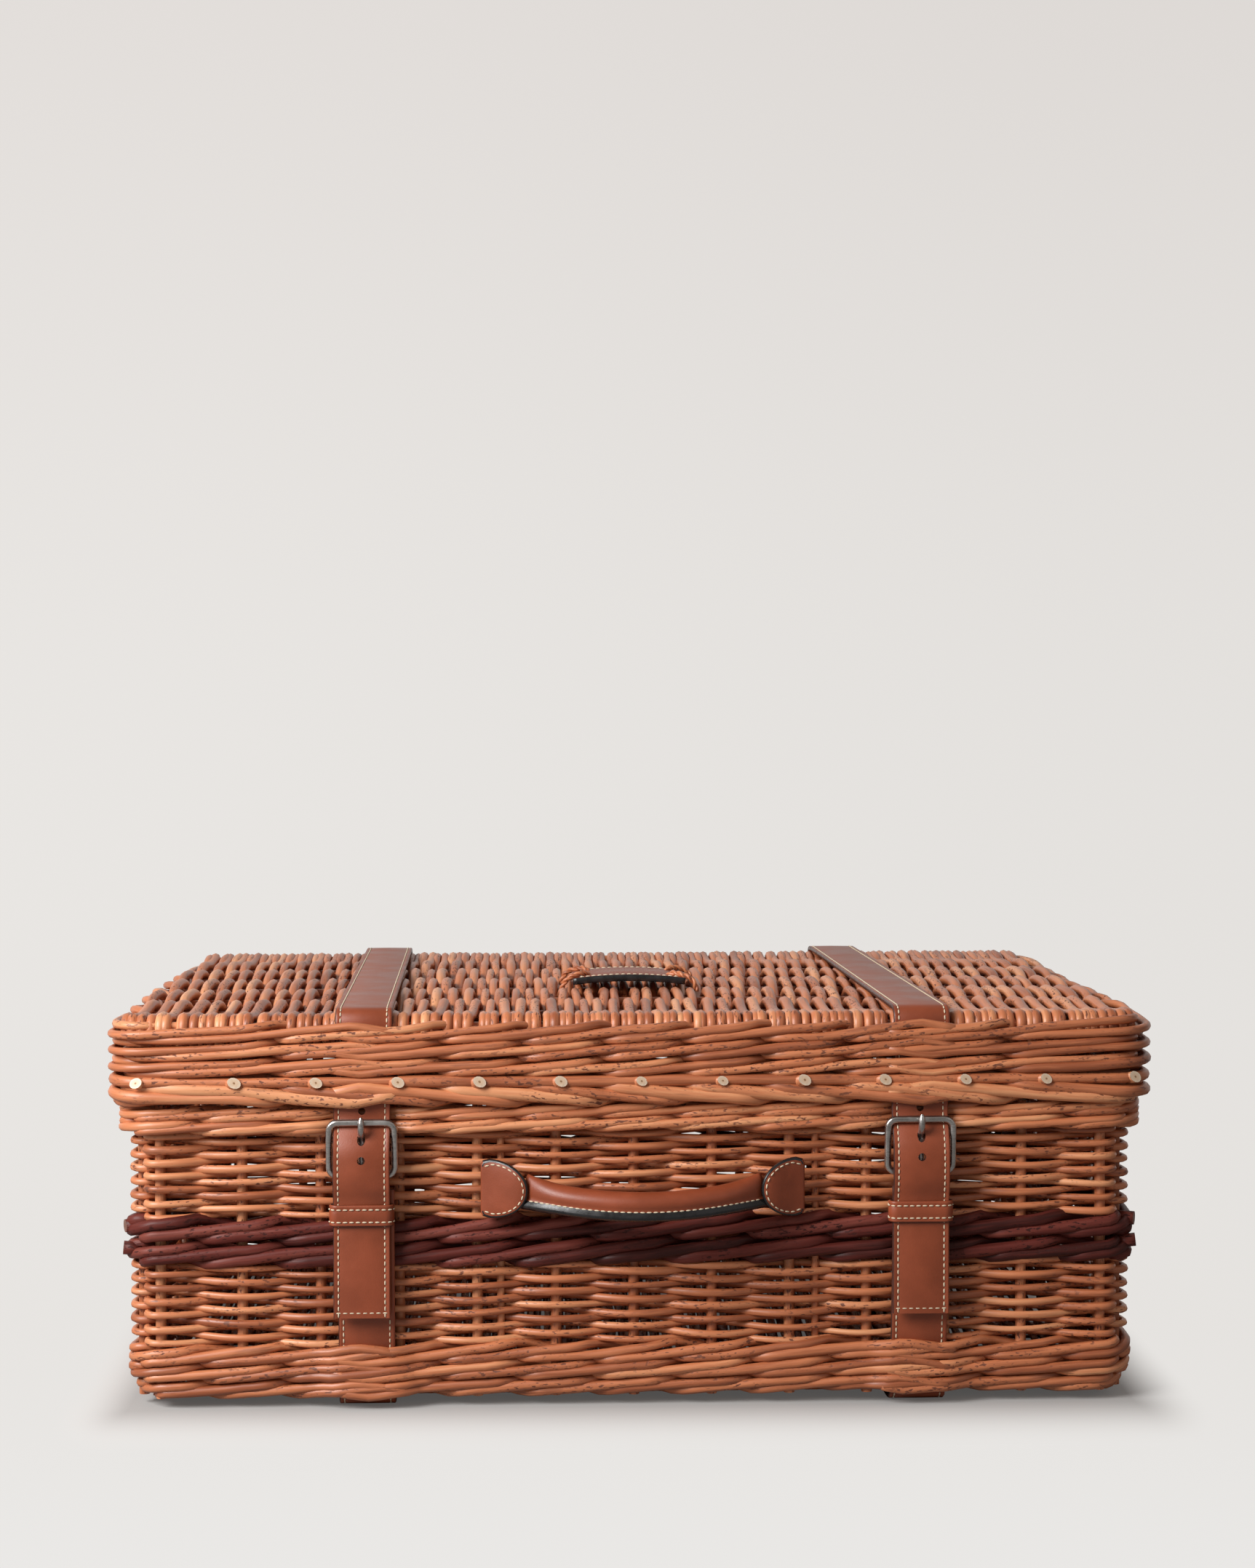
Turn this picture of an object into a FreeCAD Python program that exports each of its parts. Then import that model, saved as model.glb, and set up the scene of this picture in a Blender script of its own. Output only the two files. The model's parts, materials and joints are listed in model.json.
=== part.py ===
import FreeCAD, Part
import math
import os
from FreeCAD import Placement, Rotation, Vector

# Closed willow picnic hamper: woven basket, hinged woven lid, two leather belts
# with buckles and a rolled leather handle.  Millimetres, +Z up, the front faces
# -Y, and the origin is the middle of the flat underside of the base.

SIZES = (
    ("body_w", 540.0, "width over the siding"),
    ("body_d", 370.0, "depth over the siding"),
    ("wall_t", 14.0, "thickness of the woven wall"),
    ("corner_r", 19.0, "outer radius of the siding's corners"),
    ("base_h", 10.0, "thickness of the base panel"),
    ("foot_z", 4.7, "underside of the foot waling"),
    ("foot_h", 28.8, "height of the foot waling"),
    ("low_h", 43.0, "height of the lower siding"),
    ("band_h", 26.0, "height of the dark band"),
    ("up_h", 46.0, "height of the upper siding"),
    ("border_h", 14.4, "height of the basket's top border"),
    ("lid_gap", 0.4, "gap between the basket's border and the lid"),
    ("lid_out", 11.0, "how far the lid's rim stands out past the siding"),
    ("foot_tuck", 4.0, "how much the foot is drawn in at the two ends"),
    ("rope_h", 16.7, "height of the lid's lower border and its row of rod ends"),
    ("wale_h", 26.8, "height of the lid's waling"),
    ("panel_t", 11.0, "thickness of the lid's top panel"),
    ("stake_dia", 6.0, "diameter of a wall stake"),
    ("post_dia", 6.6, "diameter of a corner post"),
    ("liner_dia", 4.0, "diameter of a liner stake by the handle"),
    ("stake_gap", 41.9, "spacing of the stakes"),
    ("lid_stake_gap", 43.1, "spacing of the lid's stakes and rod ends"),
    ("rod_gap", 9.0, "spacing of the rods across the lid and the base"),
    ("belt_w", 30.0, "width of a belt"),
    ("belt_t", 2.6, "thickness of a belt"),
    ("belt_span", 297.4, "distance between the two belts' centre lines"),
    ("shift", 5.5, "how far the belts and the handle sit right of the middle"),
    ("bar_h", 19.0, "height of the buckle's lower bar above the dark band's top"),
    ("buckle_side", 4.1, "how far a buckle frame stands out past its belt on each side"),
    ("buckle_h", 32.0, "height of a buckle frame"),
    ("bar_w", 3.5, "width of a buckle frame's bars"),
    ("handle_w", 171.0, "width over the handle's two end tabs"),
    ("handle_out", 29.0, "how far the middle of the grip stands off the siding"),
    ("grip_r", 7.0, "radius of the grip at its middle"),
    ("label_w", 66.0, "width of the label"),
    ("label_d", 50.0, "depth of the label"),
    ("label_t", 3.6, "thickness of the label"),
)

doc = FreeCAD.newDocument("hamper")
sheet = doc.addObject("Spreadsheet::Sheet", "sizes")
for row, (alias, value, note) in enumerate(SIZES, 1):
    sheet.set("A%d" % row, note)
    sheet.set("B%d" % row, "%g" % value)
    sheet.setAlias("B%d" % row, alias)
doc.recompute()


def size(alias):
    return float(sheet.get(alias))


# Planes for sketches: across the front (X, Z) and from front to back (Y, Z).
FRONT_PLANE = Rotation(Vector(1, 0, 0), 90)
SIDE_PLANE = Rotation(Vector(1, 1, 1), 120)

W = size("body_w")
D = size("body_d")
WALL = size("wall_t")
BELT_T = size("belt_t")

# Heights of the woven sections, from the floor up.
Z_FOOT = size("foot_z")
Z_LOW = Z_FOOT + size("foot_h")
Z_BAND = Z_LOW + size("low_h")
Z_UP = Z_BAND + size("band_h")
Z_BORDER = Z_UP + size("up_h")
Z_RIM = Z_BORDER + size("border_h")
Z_ROPE = Z_RIM + size("lid_gap")
Z_WALE = Z_ROPE + size("rope_h")
Z_LIP = Z_WALE + size("wale_h")
Z_PANEL = Z_LIP - 5.7
Z_TOP = Z_PANEL + size("panel_t")

# Buckle: the lower bar is the axis that the frame and the tongue turn about.
Z_BAR = Z_UP + size("bar_h") + 4.8
BAR_OUT = 6.6
BAR_R = 1.6
EYE_R = BAR_R + 0.3
BILLET_OUT = 6.6
FOOT_BELT_OUT = 0.4
RIM_BELT_OUT = 4.7
Z_SPLIT = Z_RIM - 1.9

# Handle: the line that the grip turns about.
Z_GRIP = Z_UP + 16.5
GRIP_END_OUT = 9.6
TAB_HALF = 15.7
WEB_H = 28.6
Z_WEB = Z_GRIP - WEB_H / 2

parts = []


def add_part(label, feature):
    """Name a finished sub-part and keep it for writing."""
    feature.Label = label
    parts.append((label, feature))
    return feature


def front_y(out):
    """Y of a point that stands this far out of the front siding."""
    return -(D / 2 + out)


def new_body(label):
    return doc.addObject("PartDesign::Body", label + "_body")


def sketch_in(body, rotation, base, edges):
    """Add a sketch with the given edges to a body, or to the document."""
    kind = "Sketcher::SketchObject"
    sketch = body.newObject(kind) if body else doc.addObject(kind, "outline")
    sketch.Placement = Placement(base, rotation)
    for edge in edges:
        sketch.addGeometry(edge, False)
    return sketch


def pad(body, rotation, base, edges, length, both=False):
    """Pad a sketch in a body; length is a number or an expression."""
    sketch = sketch_in(body, rotation, base, edges)
    feature = body.newObject("PartDesign::Pad")
    feature.Profile = sketch
    if both:
        feature.Midplane = True
    set_length(feature, length)
    return feature


def pocket(body, rotation, base, edges, length):
    """Cut a sketch's outline out of a body, equally to both sides."""
    sketch = sketch_in(body, rotation, base, edges)
    feature = body.newObject("PartDesign::Pocket")
    feature.Profile = sketch
    feature.Midplane = True
    set_length(feature, length)
    return feature


def set_length(feature, length):
    if isinstance(length, str):
        feature.setExpression("Length", length)
    else:
        feature.Length = length


def polygon(points):
    """Line segments round a closed outline of (u, v) points."""
    corners = [Vector(u, v, 0) for u, v in points]
    ends = corners[1:] + corners[:1]
    return [Part.LineSegment(a, b) for a, b in zip(corners, ends)]


def box_outline(u0, u1, v0, v1):
    return polygon([(u0, v0), (u1, v0), (u1, v1), (u0, v1)])


def circle(u, v, radius):
    return Part.Circle(Vector(u, v, 0), Vector(0, 0, 1), radius)


def rounded_rect(width, depth, radius, v_mid=0.0):
    """Eight edges round a rectangle with round corners, from its lower left."""
    a = width / 2 - radius
    b = depth / 2 - radius
    k = radius * math.sqrt(0.5)
    centres = [(a, -b), (a, b), (-a, b), (-a, -b)]
    turns = [(0, -1), (1, 0), (0, 1), (-1, 0)]
    edges = []
    for i in range(4):
        cu, cv = centres[i]
        pu, pv = centres[i - 1]
        du, dv = turns[i]
        eu, ev = turns[(i + 1) % 4]
        start = Vector(pu + radius * du, pv + radius * dv + v_mid, 0)
        turn_in = Vector(cu + radius * du, cv + radius * dv + v_mid, 0)
        middle = Vector(cu + k * (du + eu), cv + k * (dv + ev) + v_mid, 0)
        turn_out = Vector(cu + radius * eu, cv + radius * ev + v_mid, 0)
        edges.append(Part.LineSegment(start, turn_in))
        edges.append(Part.Arc(turn_in, middle, turn_out))
    return edges


def bumps(start, end, count, bulge):
    """A row of equal arcs from start to end that bulge to the right of the way."""
    edges = []
    du = (end[0] - start[0]) / count
    dv = (end[1] - start[1]) / count
    length = math.hypot(du, dv)
    for i in range(count):
        a = Vector(start[0] + i * du, start[1] + i * dv, 0)
        b = Vector(start[0] + (i + 1) * du, start[1] + (i + 1) * dv, 0)
        top = (a + b) * 0.5 + Vector(dv, -du, 0) * (bulge / length)
        edges.append(Part.Arc(a, top, b))
    return edges


def lines(points):
    """Line segments along an open row of (u, v) points."""
    row = [Vector(u, v, 0) for u, v in points]
    return [Part.LineSegment(a, b) for a, b in zip(row, row[1:])]


def strip_outline(points, thickness):
    """Closed outline of a strip of even thickness along a row of points."""
    left = []
    right = []
    last = len(points) - 1
    for i, (u, v) in enumerate(points):
        u0, v0 = points[max(i - 1, 0)]
        u1, v1 = points[min(i + 1, last)]
        before = Vector(u - u0, v - v0, 0)
        after = Vector(u1 - u, v1 - v, 0)
        before = before if i > 0 else after
        after = after if i < last else before
        before.normalize()
        after.normalize()
        way = before + after
        way.normalize()
        reach = thickness / 2 / way.dot(before)
        left.append((u - way.y * reach, v + way.x * reach))
        right.append((u + way.y * reach, v - way.x * reach))
    return polygon(left + right[::-1])


def arc_points(cu, cv, radius, start_deg, end_deg, count=7):
    """Points along an arc, both ends included."""
    points = []
    for i in range(count):
        angle = math.radians(start_deg + (end_deg - start_deg) * i / (count - 1))
        points.append((cu + radius * math.cos(angle), cv + radius * math.sin(angle)))
    return points


def rod(start, end, radius):
    """A straight round rod between two points."""
    way = end - start
    cylinder = doc.addObject("Part::Cylinder", "rod")
    cylinder.Height = way.Length
    cylinder.Placement = Placement(start, Rotation(Vector(0, 0, 1), way))
    if isinstance(radius, str):
        cylinder.setExpression("Radius", radius)
    else:
        cylinder.Radius = radius
    return cylinder


def bent_rod(points, radius):
    """Straight rods joined by balls, fused into one piece."""
    pieces = [rod(a, b, radius) for a, b in zip(points, points[1:])]
    for point in points:
        ball = doc.addObject("Part::Sphere", "ball")
        ball.Radius = radius
        ball.Placement = Placement(point, Rotation())
        pieces.append(ball)
    return fuse(pieces)


def fuse(pieces):
    feature = doc.addObject("Part::MultiFuse", "joined")
    feature.Shapes = pieces
    return feature


def group(pieces):
    feature = doc.addObject("Part::Compound", "group")
    feature.Links = pieces
    return feature


def cut(base, tool):
    feature = doc.addObject("Part::Cut", "cut")
    feature.Base = base
    feature.Tool = tool
    return feature


def block(x0, x1, y0, y1, z0, z1):
    feature = doc.addObject("Part::Box", "block")
    feature.Length = x1 - x0
    feature.Width = y1 - y0
    feature.Height = z1 - z0
    feature.Placement = Placement(Vector(x0, y0, z0), Rotation())
    return feature


def spread(count, gap):
    """Evenly spaced positions about zero."""
    return [gap * (i - (count - 1) / 2) for i in range(count)]


# ---------------------------------------------------------------- stakes

STAKE_LINE = -WALL / 2
POST_INSET = 17.5
LID_STAKE_LINE = -1.5
LID_STAKE_MID = 4.5


def stake_places(out, gap, sides, mid_x=0.5):
    """(x, y) of the stakes on the chosen sides, this far out of the siding."""
    half_w = W / 2 + out
    half_d = D / 2 + out
    along_w = [mid_x + x for x in spread(int((W - 60) // gap), gap)]
    along_d = spread(int((D - 60) // gap), gap)
    places = []
    if "front" in sides:
        places += [(x, -half_d) for x in along_w]
    if "back" in sides:
        places += [(x, half_d) for x in along_w]
    if "left" in sides:
        places += [(-half_w, y) for y in along_d]
    if "right" in sides:
        places += [(half_w, y) for y in along_d]
    return places


def post_places():
    """Two posts at each corner, one on each wall."""
    places = []
    for way_x in (-1, 1):
        for way_y in (-1, 1):
            places.append((way_x * (W / 2 - POST_INSET), way_y * (D / 2 + STAKE_LINE)))
            places.append((way_x * (W / 2 + STAKE_LINE), way_y * (D / 2 - POST_INSET)))
    return places


def liner_places():
    """Two thin stakes to the right of each of the handle's two slots, beside the stakes."""
    y = -(D / 2 + STAKE_LINE)
    left = size("shift") - size("handle_w") / 2
    right = size("shift") + size("handle_w") / 2
    stakes_x = [x for x, _ in stake_places(STAKE_LINE, size("stake_gap"), ("front",))]
    clear = (size("stake_dia") + size("liner_dia")) / 2 + 0.5
    places = []
    for x in (left + 6.6, left + 11.6, right + 4.6, right + 9.8):
        if places:
            x = max(x, places[-1][0] + size("liner_dia") + 0.5)
        near = min(stakes_x, key=lambda stake: abs(stake - x))
        if abs(near - x) < clear:
            x = near + clear
        places.append((x, y))
    return places


def uprights(places, z0, z1, radius):
    return [rod(Vector(x, y, z0), Vector(x, y, z1), radius) for x, y in places]


def stakes(label, sides):
    rods = uprights(stake_places(STAKE_LINE, size("stake_gap"), sides),
                    Z_FOOT + 0.5, Z_RIM - 0.3, "sizes.stake_dia / 2")
    return add_part(label, group(rods))


def wall_bores():
    """Holes through the woven rings for every upright in the basket's wall."""
    all_sides = ("front", "back", "left", "right")
    low = Z_FOOT - 5
    high = Z_RIM + 5
    bores = uprights(stake_places(STAKE_LINE, size("stake_gap"), all_sides),
                     low, high, "sizes.stake_dia / 2 + 0.2")
    bores += uprights(post_places(), low, high, "sizes.post_dia / 2 + 0.2")
    bores += uprights(liner_places(), Z_LOW, high, "sizes.liner_dia / 2 + 0.2")
    return bores


# ---------------------------------------------------------------- woven rings

def ring(label, profile_edges, cutters, line=-WALL / 2, tuck=0.0):
    """Sweep a wall profile round the hamper and cut bores and slots in it.

    line is how far out of the siding the sweep runs, and tuck is how much it is
    drawn in at the two ends.
    """
    path = sketch_in(None, Rotation(), Vector(), rounded_rect(
        W + 2 * line - 2 * tuck, D + 2 * line, size("corner_r") + line))
    start = Vector(-W / 2 + size("corner_r"), 0, 0)
    profile = sketch_in(None, SIDE_PLANE, start, profile_edges)
    sweep = doc.addObject("Part::Sweep", "sweep")
    sweep.Sections = [profile]
    sweep.Spine = (path, ["Edge%d" % (i + 1) for i in range(8)])
    sweep.Solid = True
    sweep.Frenet = False
    body = cut(sweep, group(cutters)) if cutters else sweep
    return add_part(label, body)


def border_profile():
    """The basket's top border steps out towards the lid's rim."""
    z_mid = (Z_BORDER + Z_RIM) / 2
    inner = front_y(-WALL + 1.5)
    edges = bumps((front_y(7.0), Z_RIM), (front_y(7.0), z_mid), 1, 1.5)
    edges += lines([(front_y(7.0), z_mid), (front_y(2.8), z_mid)])
    edges += bumps((front_y(2.8), z_mid), (front_y(2.8), Z_BORDER), 1, 1.2)
    edges += lines([(front_y(2.8), Z_BORDER), (inner, Z_BORDER)])
    edges += bumps((inner, Z_BORDER), (inner, Z_RIM), 2, 1.5)
    edges += lines([(inner, Z_RIM), (front_y(7.0), Z_RIM)])
    return edges


def wall_profile(z0, z1, rows, out, bulge=1.5, inner_bulge=1.5):
    """Front wall section: rod rows on both faces, flat above and below."""
    outer = front_y(out - bulge)
    inner = front_y(-WALL + inner_bulge)
    edges = bumps((outer, z1), (outer, z0), rows, bulge)
    edges += lines([(outer, z0), (inner, z0)])
    edges += bumps((inner, z0), (inner, z1), rows, inner_bulge)
    edges += lines([(inner, z1), (outer, z1)])
    return edges


def foot_profile():
    """The foot's five rod rows lean in towards the base at the bottom."""
    rows = [(5.6, 1.0), (5.9, 0.76), (5.7, 0.53), (4.6, 0.32), (2.2, 0.14), (-4.0, 0.0)]
    points = [(front_y(out - 1), Z_FOOT + share * size("foot_h")) for out, share in rows]
    edges = []
    for start, end in zip(points, points[1:]):
        edges += bumps(start, end, 1, 1.2)
    inner = front_y(-WALL + 0.5)
    edges += lines([(front_y(-5.0), Z_FOOT), (inner, Z_FOOT), (inner, Z_LOW),
                    (front_y(4.6), Z_LOW)])
    return edges


def rope_profile():
    """The lid's lower border, with a shallow recess above for the rod ends."""
    out = size("lid_out")
    z_recess = Z_WALE - 6.7
    outer = front_y(out - 1.5)
    recess = front_y(out - 2.3)
    inner = front_y(-6.0)
    edges = lines([(inner, Z_WALE - 0.3), (recess, Z_WALE - 0.3), (recess, z_recess),
                   (outer, z_recess)])
    edges += bumps((outer, z_recess), (outer, Z_ROPE), 2, 1.5)
    edges += lines([(outer, Z_ROPE), (inner, Z_ROPE), (inner, Z_WALE - 0.3)])
    return edges


def lid_wale_profile():
    """The lid's waling, with an outer lip that hides the panel's edge."""
    out = size("lid_out")
    outer = front_y(out - 1.5)
    lip = front_y(RIM_BELT_OUT + BELT_T / 2 + 0.3)
    inner = front_y(-6.0)
    ledge = Z_PANEL - 0.3
    edges = bumps((outer, Z_LIP), (outer, Z_WALE), 4, 1.5)
    edges += lines([(outer, Z_WALE), (inner, Z_WALE), (inner, ledge), (lip, ledge),
                    (lip, Z_LIP), (outer, Z_LIP)])
    return edges


def belt_places():
    half = size("belt_span") / 2
    mid = size("shift")
    return (("left", mid - half), ("right", mid + half))


def foot_slots():
    """Room for each belt behind the foot waling and under it."""
    slots = []
    width = "sizes.belt_w + 0.8"
    for side, x in belt_places():
        for turn in (1, -1):
            body = new_body("foot_slot")
            path = [(front_y(1.9), Z_LOW + 8), (front_y(1.9), Z_LOW + 1.5)]
            path += foot_path(Z_LOW - 4, -WALL - 5)
            path = [(turn * y, z) for y, z in path]
            pad(body, SIDE_PLANE, Vector(x, 0, 0), strip_outline(path, BELT_T + 0.8),
                width, True)
            slots.append(body)
    return slots


def border_notches():
    """Room for each belt in front of and behind the top border."""
    notches = []
    half = size("belt_w") / 2 + 0.4
    inside = RIM_BELT_OUT - BELT_T / 2 - 0.4
    for side, x in belt_places():
        notches.append(block(x - half, x + half, front_y(20), front_y(inside),
                             Z_BORDER - 1, Z_RIM + 1))
        notches.append(block(x - half, x + half, -front_y(inside), -front_y(20),
                             Z_BORDER - 1, Z_RIM + 1))
    return notches


def handle_slots():
    """Upright slots in the upper siding for the handle's two tabs."""
    slots = []
    for side, x0, x1 in tab_webs():
        slots.append(block(x0 - 0.3, x1 + 0.3, front_y(20), front_y(-WALL - 20),
                           Z_WEB - 0.4, Z_WEB + WEB_H + 0.4))
    return slots


def lid_slots():
    """Room for each belt behind the lid's outer waling, at front and back."""
    slots = []
    half = size("belt_w") / 2 + 0.4
    low = RIM_BELT_OUT - BELT_T / 2 - 0.3
    high = RIM_BELT_OUT + BELT_T / 2 + 0.3
    for side, x in belt_places():
        slots.append(block(x - half, x + half, front_y(high), front_y(low),
                           Z_ROPE - 5, Z_LIP + 5))
        slots.append(block(x - half, x + half, -front_y(low), -front_y(high),
                           Z_ROPE - 5, Z_LIP + 5))
    return slots


def lid_bores():
    all_sides = ("front", "back", "left", "right")
    places = stake_places(LID_STAKE_LINE, size("lid_stake_gap"), all_sides,
                          LID_STAKE_MID)
    return uprights(places, Z_ROPE - 5, Z_LIP + 5, 2.7)


def make_rings():
    ring("foot_wale", foot_profile(), wall_bores() + foot_slots(), -WALL / 2,
         size("foot_tuck"))
    ring("lower_siding", wall_profile(Z_LOW, Z_BAND, 12, 0.0), wall_bores())
    ring("dark_band", wall_profile(Z_BAND, Z_UP, 4, 3.0), wall_bores())
    ring("upper_siding", wall_profile(Z_UP, Z_BORDER, 13, 0.0),
         wall_bores() + handle_slots())
    ring("top_border", border_profile(), wall_bores() + border_notches())
    ring("lid_border", rope_profile(), lid_bores() + lid_slots(), 2.5)
    ring("lid_wale", lid_wale_profile(), lid_bores() + lid_slots(), 2.5)


def make_uprights():
    stakes("stakes_front", ("front",))
    stakes("stakes_back", ("back",))
    stakes("stakes_left", ("left",))
    stakes("stakes_right", ("right",))
    posts = uprights(post_places(), Z_FOOT + 0.5, Z_RIM - 0.3, "sizes.post_dia / 2")
    add_part("corner_posts", group(posts))
    liners = uprights(liner_places(), Z_LOW + 0.5, Z_RIM - 0.3, "sizes.liner_dia / 2")
    add_part("liner_stakes", group(liners))
    all_sides = ("front", "back", "left", "right")
    places = stake_places(LID_STAKE_LINE, size("lid_stake_gap"), all_sides,
                          LID_STAKE_MID)
    add_part("lid_stakes", group(uprights(places, Z_ROPE + 1, Z_PANEL - 1, 2.5)))


def make_rod_ends():
    """Cut rod ends that show in a row round the lid's rim."""
    out0 = size("lid_out") - 2.0
    out1 = size("lid_out")
    z = Z_WALE - 3.5
    ends = []
    for x, y in stake_places(0.0, size("lid_stake_gap"), ("front", "back"), LID_STAKE_MID):
        way = 1 if y > 0 else -1
        ends.append(rod(Vector(x, way * (D / 2 + out0), z),
                        Vector(x, way * (D / 2 + out1), z), 3.0))
    for x, y in stake_places(0.0, size("lid_stake_gap"), ("left", "right")):
        way = 1 if x > 0 else -1
        ends.append(rod(Vector(way * (W / 2 + out0), y, z),
                        Vector(way * (W / 2 + out1), y, z), 3.0))
    add_part("lid_rod_ends", group(ends))


# ---------------------------------------------------------------- panels

def woven_panel(label, width, depth, radius, z0, thickness, edge_r, cutters):
    """A plate with rod ribs from front to back, trimmed to a rounded outline."""
    count = int((width - 4) // size("rod_gap"))
    half = width / 2
    top = z0 + thickness - 1.4
    low = z0 + (1.4 if edge_r else 0.0)
    edges = bumps((half, top), (-half, top), count, 1.4)
    edges += lines([(-half, top), (-half, low)])
    if edge_r:
        edges += bumps((-half, low), (half, low), count, 1.4)
    else:
        edges += lines([(-half, low), (half, low)])
    edges += lines([(half, low), (half, top)])
    ribs = new_body(label + "_ribs")
    pad(ribs, FRONT_PLANE, Vector(), edges, depth, True)
    trim = new_body(label + "_trim")
    prism = pad(trim, Rotation(), Vector(0, 0, z0 - 1),
                rounded_rect(width, depth, radius), thickness + 1)
    if edge_r:
        round_top(trim, prism, z0 + thickness, edge_r)
    both = doc.addObject("Part::MultiCommon", "trimmed")
    both.Shapes = [ribs, trim]
    return add_part(label, cut(both, group(cutters)))


def round_top(body, prism, z, radius):
    """Round the top edge of a prism whose top face is at height z."""
    doc.recompute()
    names = []
    for number, edge in enumerate(prism.Shape.Edges, 1):
        if all(abs(vertex.Z - z) < 0.001 for vertex in edge.Vertexes):
            names.append("Edge%d" % number)
    rounding = body.newObject("PartDesign::Fillet")
    rounding.Base = (prism, names)
    rounding.Radius = radius


def sticks_along_x(width, depth, z, count, radius, extra):
    """Straight sticks across a panel, evenly spaced from front to back."""
    gap = (depth - 26) / (count - 1)
    half = width / 2 + extra
    return [rod(Vector(-half, y, z), Vector(half, y, z), radius)
            for y in spread(count, gap)]


def make_base():
    width = W - 2 * WALL - 0.6 - 2 * size("foot_tuck")
    depth = D - 2 * WALL - 0.6
    radius = size("corner_r") - WALL
    z = size("base_h") - 3.7
    grooves = []
    half = size("belt_w") / 2 + 0.4
    for side, x in belt_places():
        grooves.append(block(x - half, x + half, -D, D, -5, BELT_T + 0.4))
    bores = sticks_along_x(width, depth, z, 7, 2.4, 5)
    woven_panel("base_panel", width, depth, radius, 0, size("base_h"), 0,
                bores + grooves)
    add_part("base_sticks", group(sticks_along_x(width, depth, z, 7, 2.2, -1.5)))


def make_lid_panel():
    width = W + 6.2
    depth = D + 6.2
    z = Z_PANEL + size("panel_t") / 2
    bores = sticks_along_x(width, depth, z, 7, 3.1, 5)
    woven_panel("lid_panel", width, depth, size("corner_r") + 3.1, Z_PANEL,
                size("panel_t"), 5.0, bores)
    add_part("lid_sticks", group(sticks_along_x(width, depth, z, 7, 2.9, -5.0)))


# ---------------------------------------------------------------- belts

def foot_path(z_high, out_end):
    """Belt centre line from the front siding round the foot to the underside."""
    z_mid = BELT_T / 2
    bend = 8.0
    centre_out = FOOT_BELT_OUT - bend
    centre_z = z_mid + bend
    points = [(front_y(FOOT_BELT_OUT), z_high)]
    for out, z in arc_points(centre_out, centre_z, bend, 0, -90):
        points.append((front_y(out), z))
    points.append((front_y(out_end), z_mid))
    return points


def foot_run(z_low):
    """Belt centre line down the front siding, into the foot and under the base."""
    slope = [(front_y(1.9), Z_LOW + 12), (front_y(1.9), Z_LOW + 1.5)]
    return slope + foot_path(z_low, -20)[:-1]


def lower_belt(side, x):
    """Belt from the buckle down the front, under the base and up the back."""
    body = new_body("belt_lower_" + side)
    base = Vector(x, 0, 0)
    width = "sizes.belt_w"
    front = [(front_y(BILLET_OUT), Z_BAR - 3.2), (front_y(BILLET_OUT), Z_BAND - 2)]
    front += foot_run(Z_LOW - 4)
    back = [(-y, z) for y, z in foot_run(Z_LOW - 4)][::-1]
    back += [(-front_y(RIM_BELT_OUT), Z_BAND - 2), (-front_y(RIM_BELT_OUT), Z_RIM - 0.6)]
    pad(body, SIDE_PLANE, base, strip_outline(front + back, BELT_T), width, True)
    eye = [circle(front_y(BAR_OUT), Z_BAR, EYE_R + BELT_T),
           circle(front_y(BAR_OUT), Z_BAR, EYE_R)]
    pad(body, SIDE_PLANE, base, eye, width, True)
    fold = box_outline(front_y(5.0), front_y(2.4), Z_UP + 10.0, Z_BAR - 1.5)
    pad(body, SIDE_PLANE, base, fold, width, True)
    gap = box_outline(front_y(BAR_OUT + 7), front_y(1.0), Z_BAR - 6, Z_BAR + 7)
    pocket(body, SIDE_PLANE, base, gap, 5.2)
    return add_part("belt_lower_" + side, body)


def lid_belt(side, x):
    """Belt over the lid, down behind the rim's waling at front and back."""
    body = new_body("belt_lid_" + side)
    bend = 6.6
    z_mid = Z_TOP + 0.3 + BELT_T / 2
    front = [(front_y(RIM_BELT_OUT), Z_RIM - 0.2)]
    for out, z in arc_points(RIM_BELT_OUT - bend, z_mid - bend, bend, 0, 90):
        front.append((front_y(out), z))
    back = [(-y, z) for y, z in front[::-1]]
    pad(body, SIDE_PLANE, Vector(x, 0, 0), strip_outline(front + back, BELT_T),
        "sizes.belt_w", True)
    return add_part("belt_lid_" + side, body)


def belt_tail(side, x):
    """Loose end of the belt, through the buckle and the keeper."""
    body = new_body("belt_tail_" + side)
    base = Vector(x, 0, 0)
    width = "sizes.belt_w"
    path = [(4.7, Z_SPLIT), (4.7, Z_BAR + 27.2), (11.2, Z_BAR + 17.5),
            (12.8, Z_BAR + 12), (12.8, Z_BAR - 3), (9.6, Z_BAR - 12), (9.6, Z_LOW + 17.6)]
    points = [(front_y(out), z) for out, z in path]
    pad(body, SIDE_PLANE, base, strip_outline(points, BELT_T), width, True)
    pad(body, SIDE_PLANE, base, [circle(front_y(4.7), Z_SPLIT, BELT_T / 2)], width, True)
    tongue_hole = box_outline(-2.3, 2.3, Z_BAR + 16.5, Z_BAR + 25.5)
    hole_plane = Vector(x, front_y(8), 0)
    pocket(body, FRONT_PLANE, hole_plane, tongue_hole, 20)
    for z in (Z_SPLIT - 3.2, Z_BAR + 8.5, Z_UP - 5.5, Z_UP - 21.5):
        pocket(body, FRONT_PLANE, hole_plane, [circle(0, z, 2.0)], 20)
    return add_part("belt_tail_" + side, body)


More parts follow.
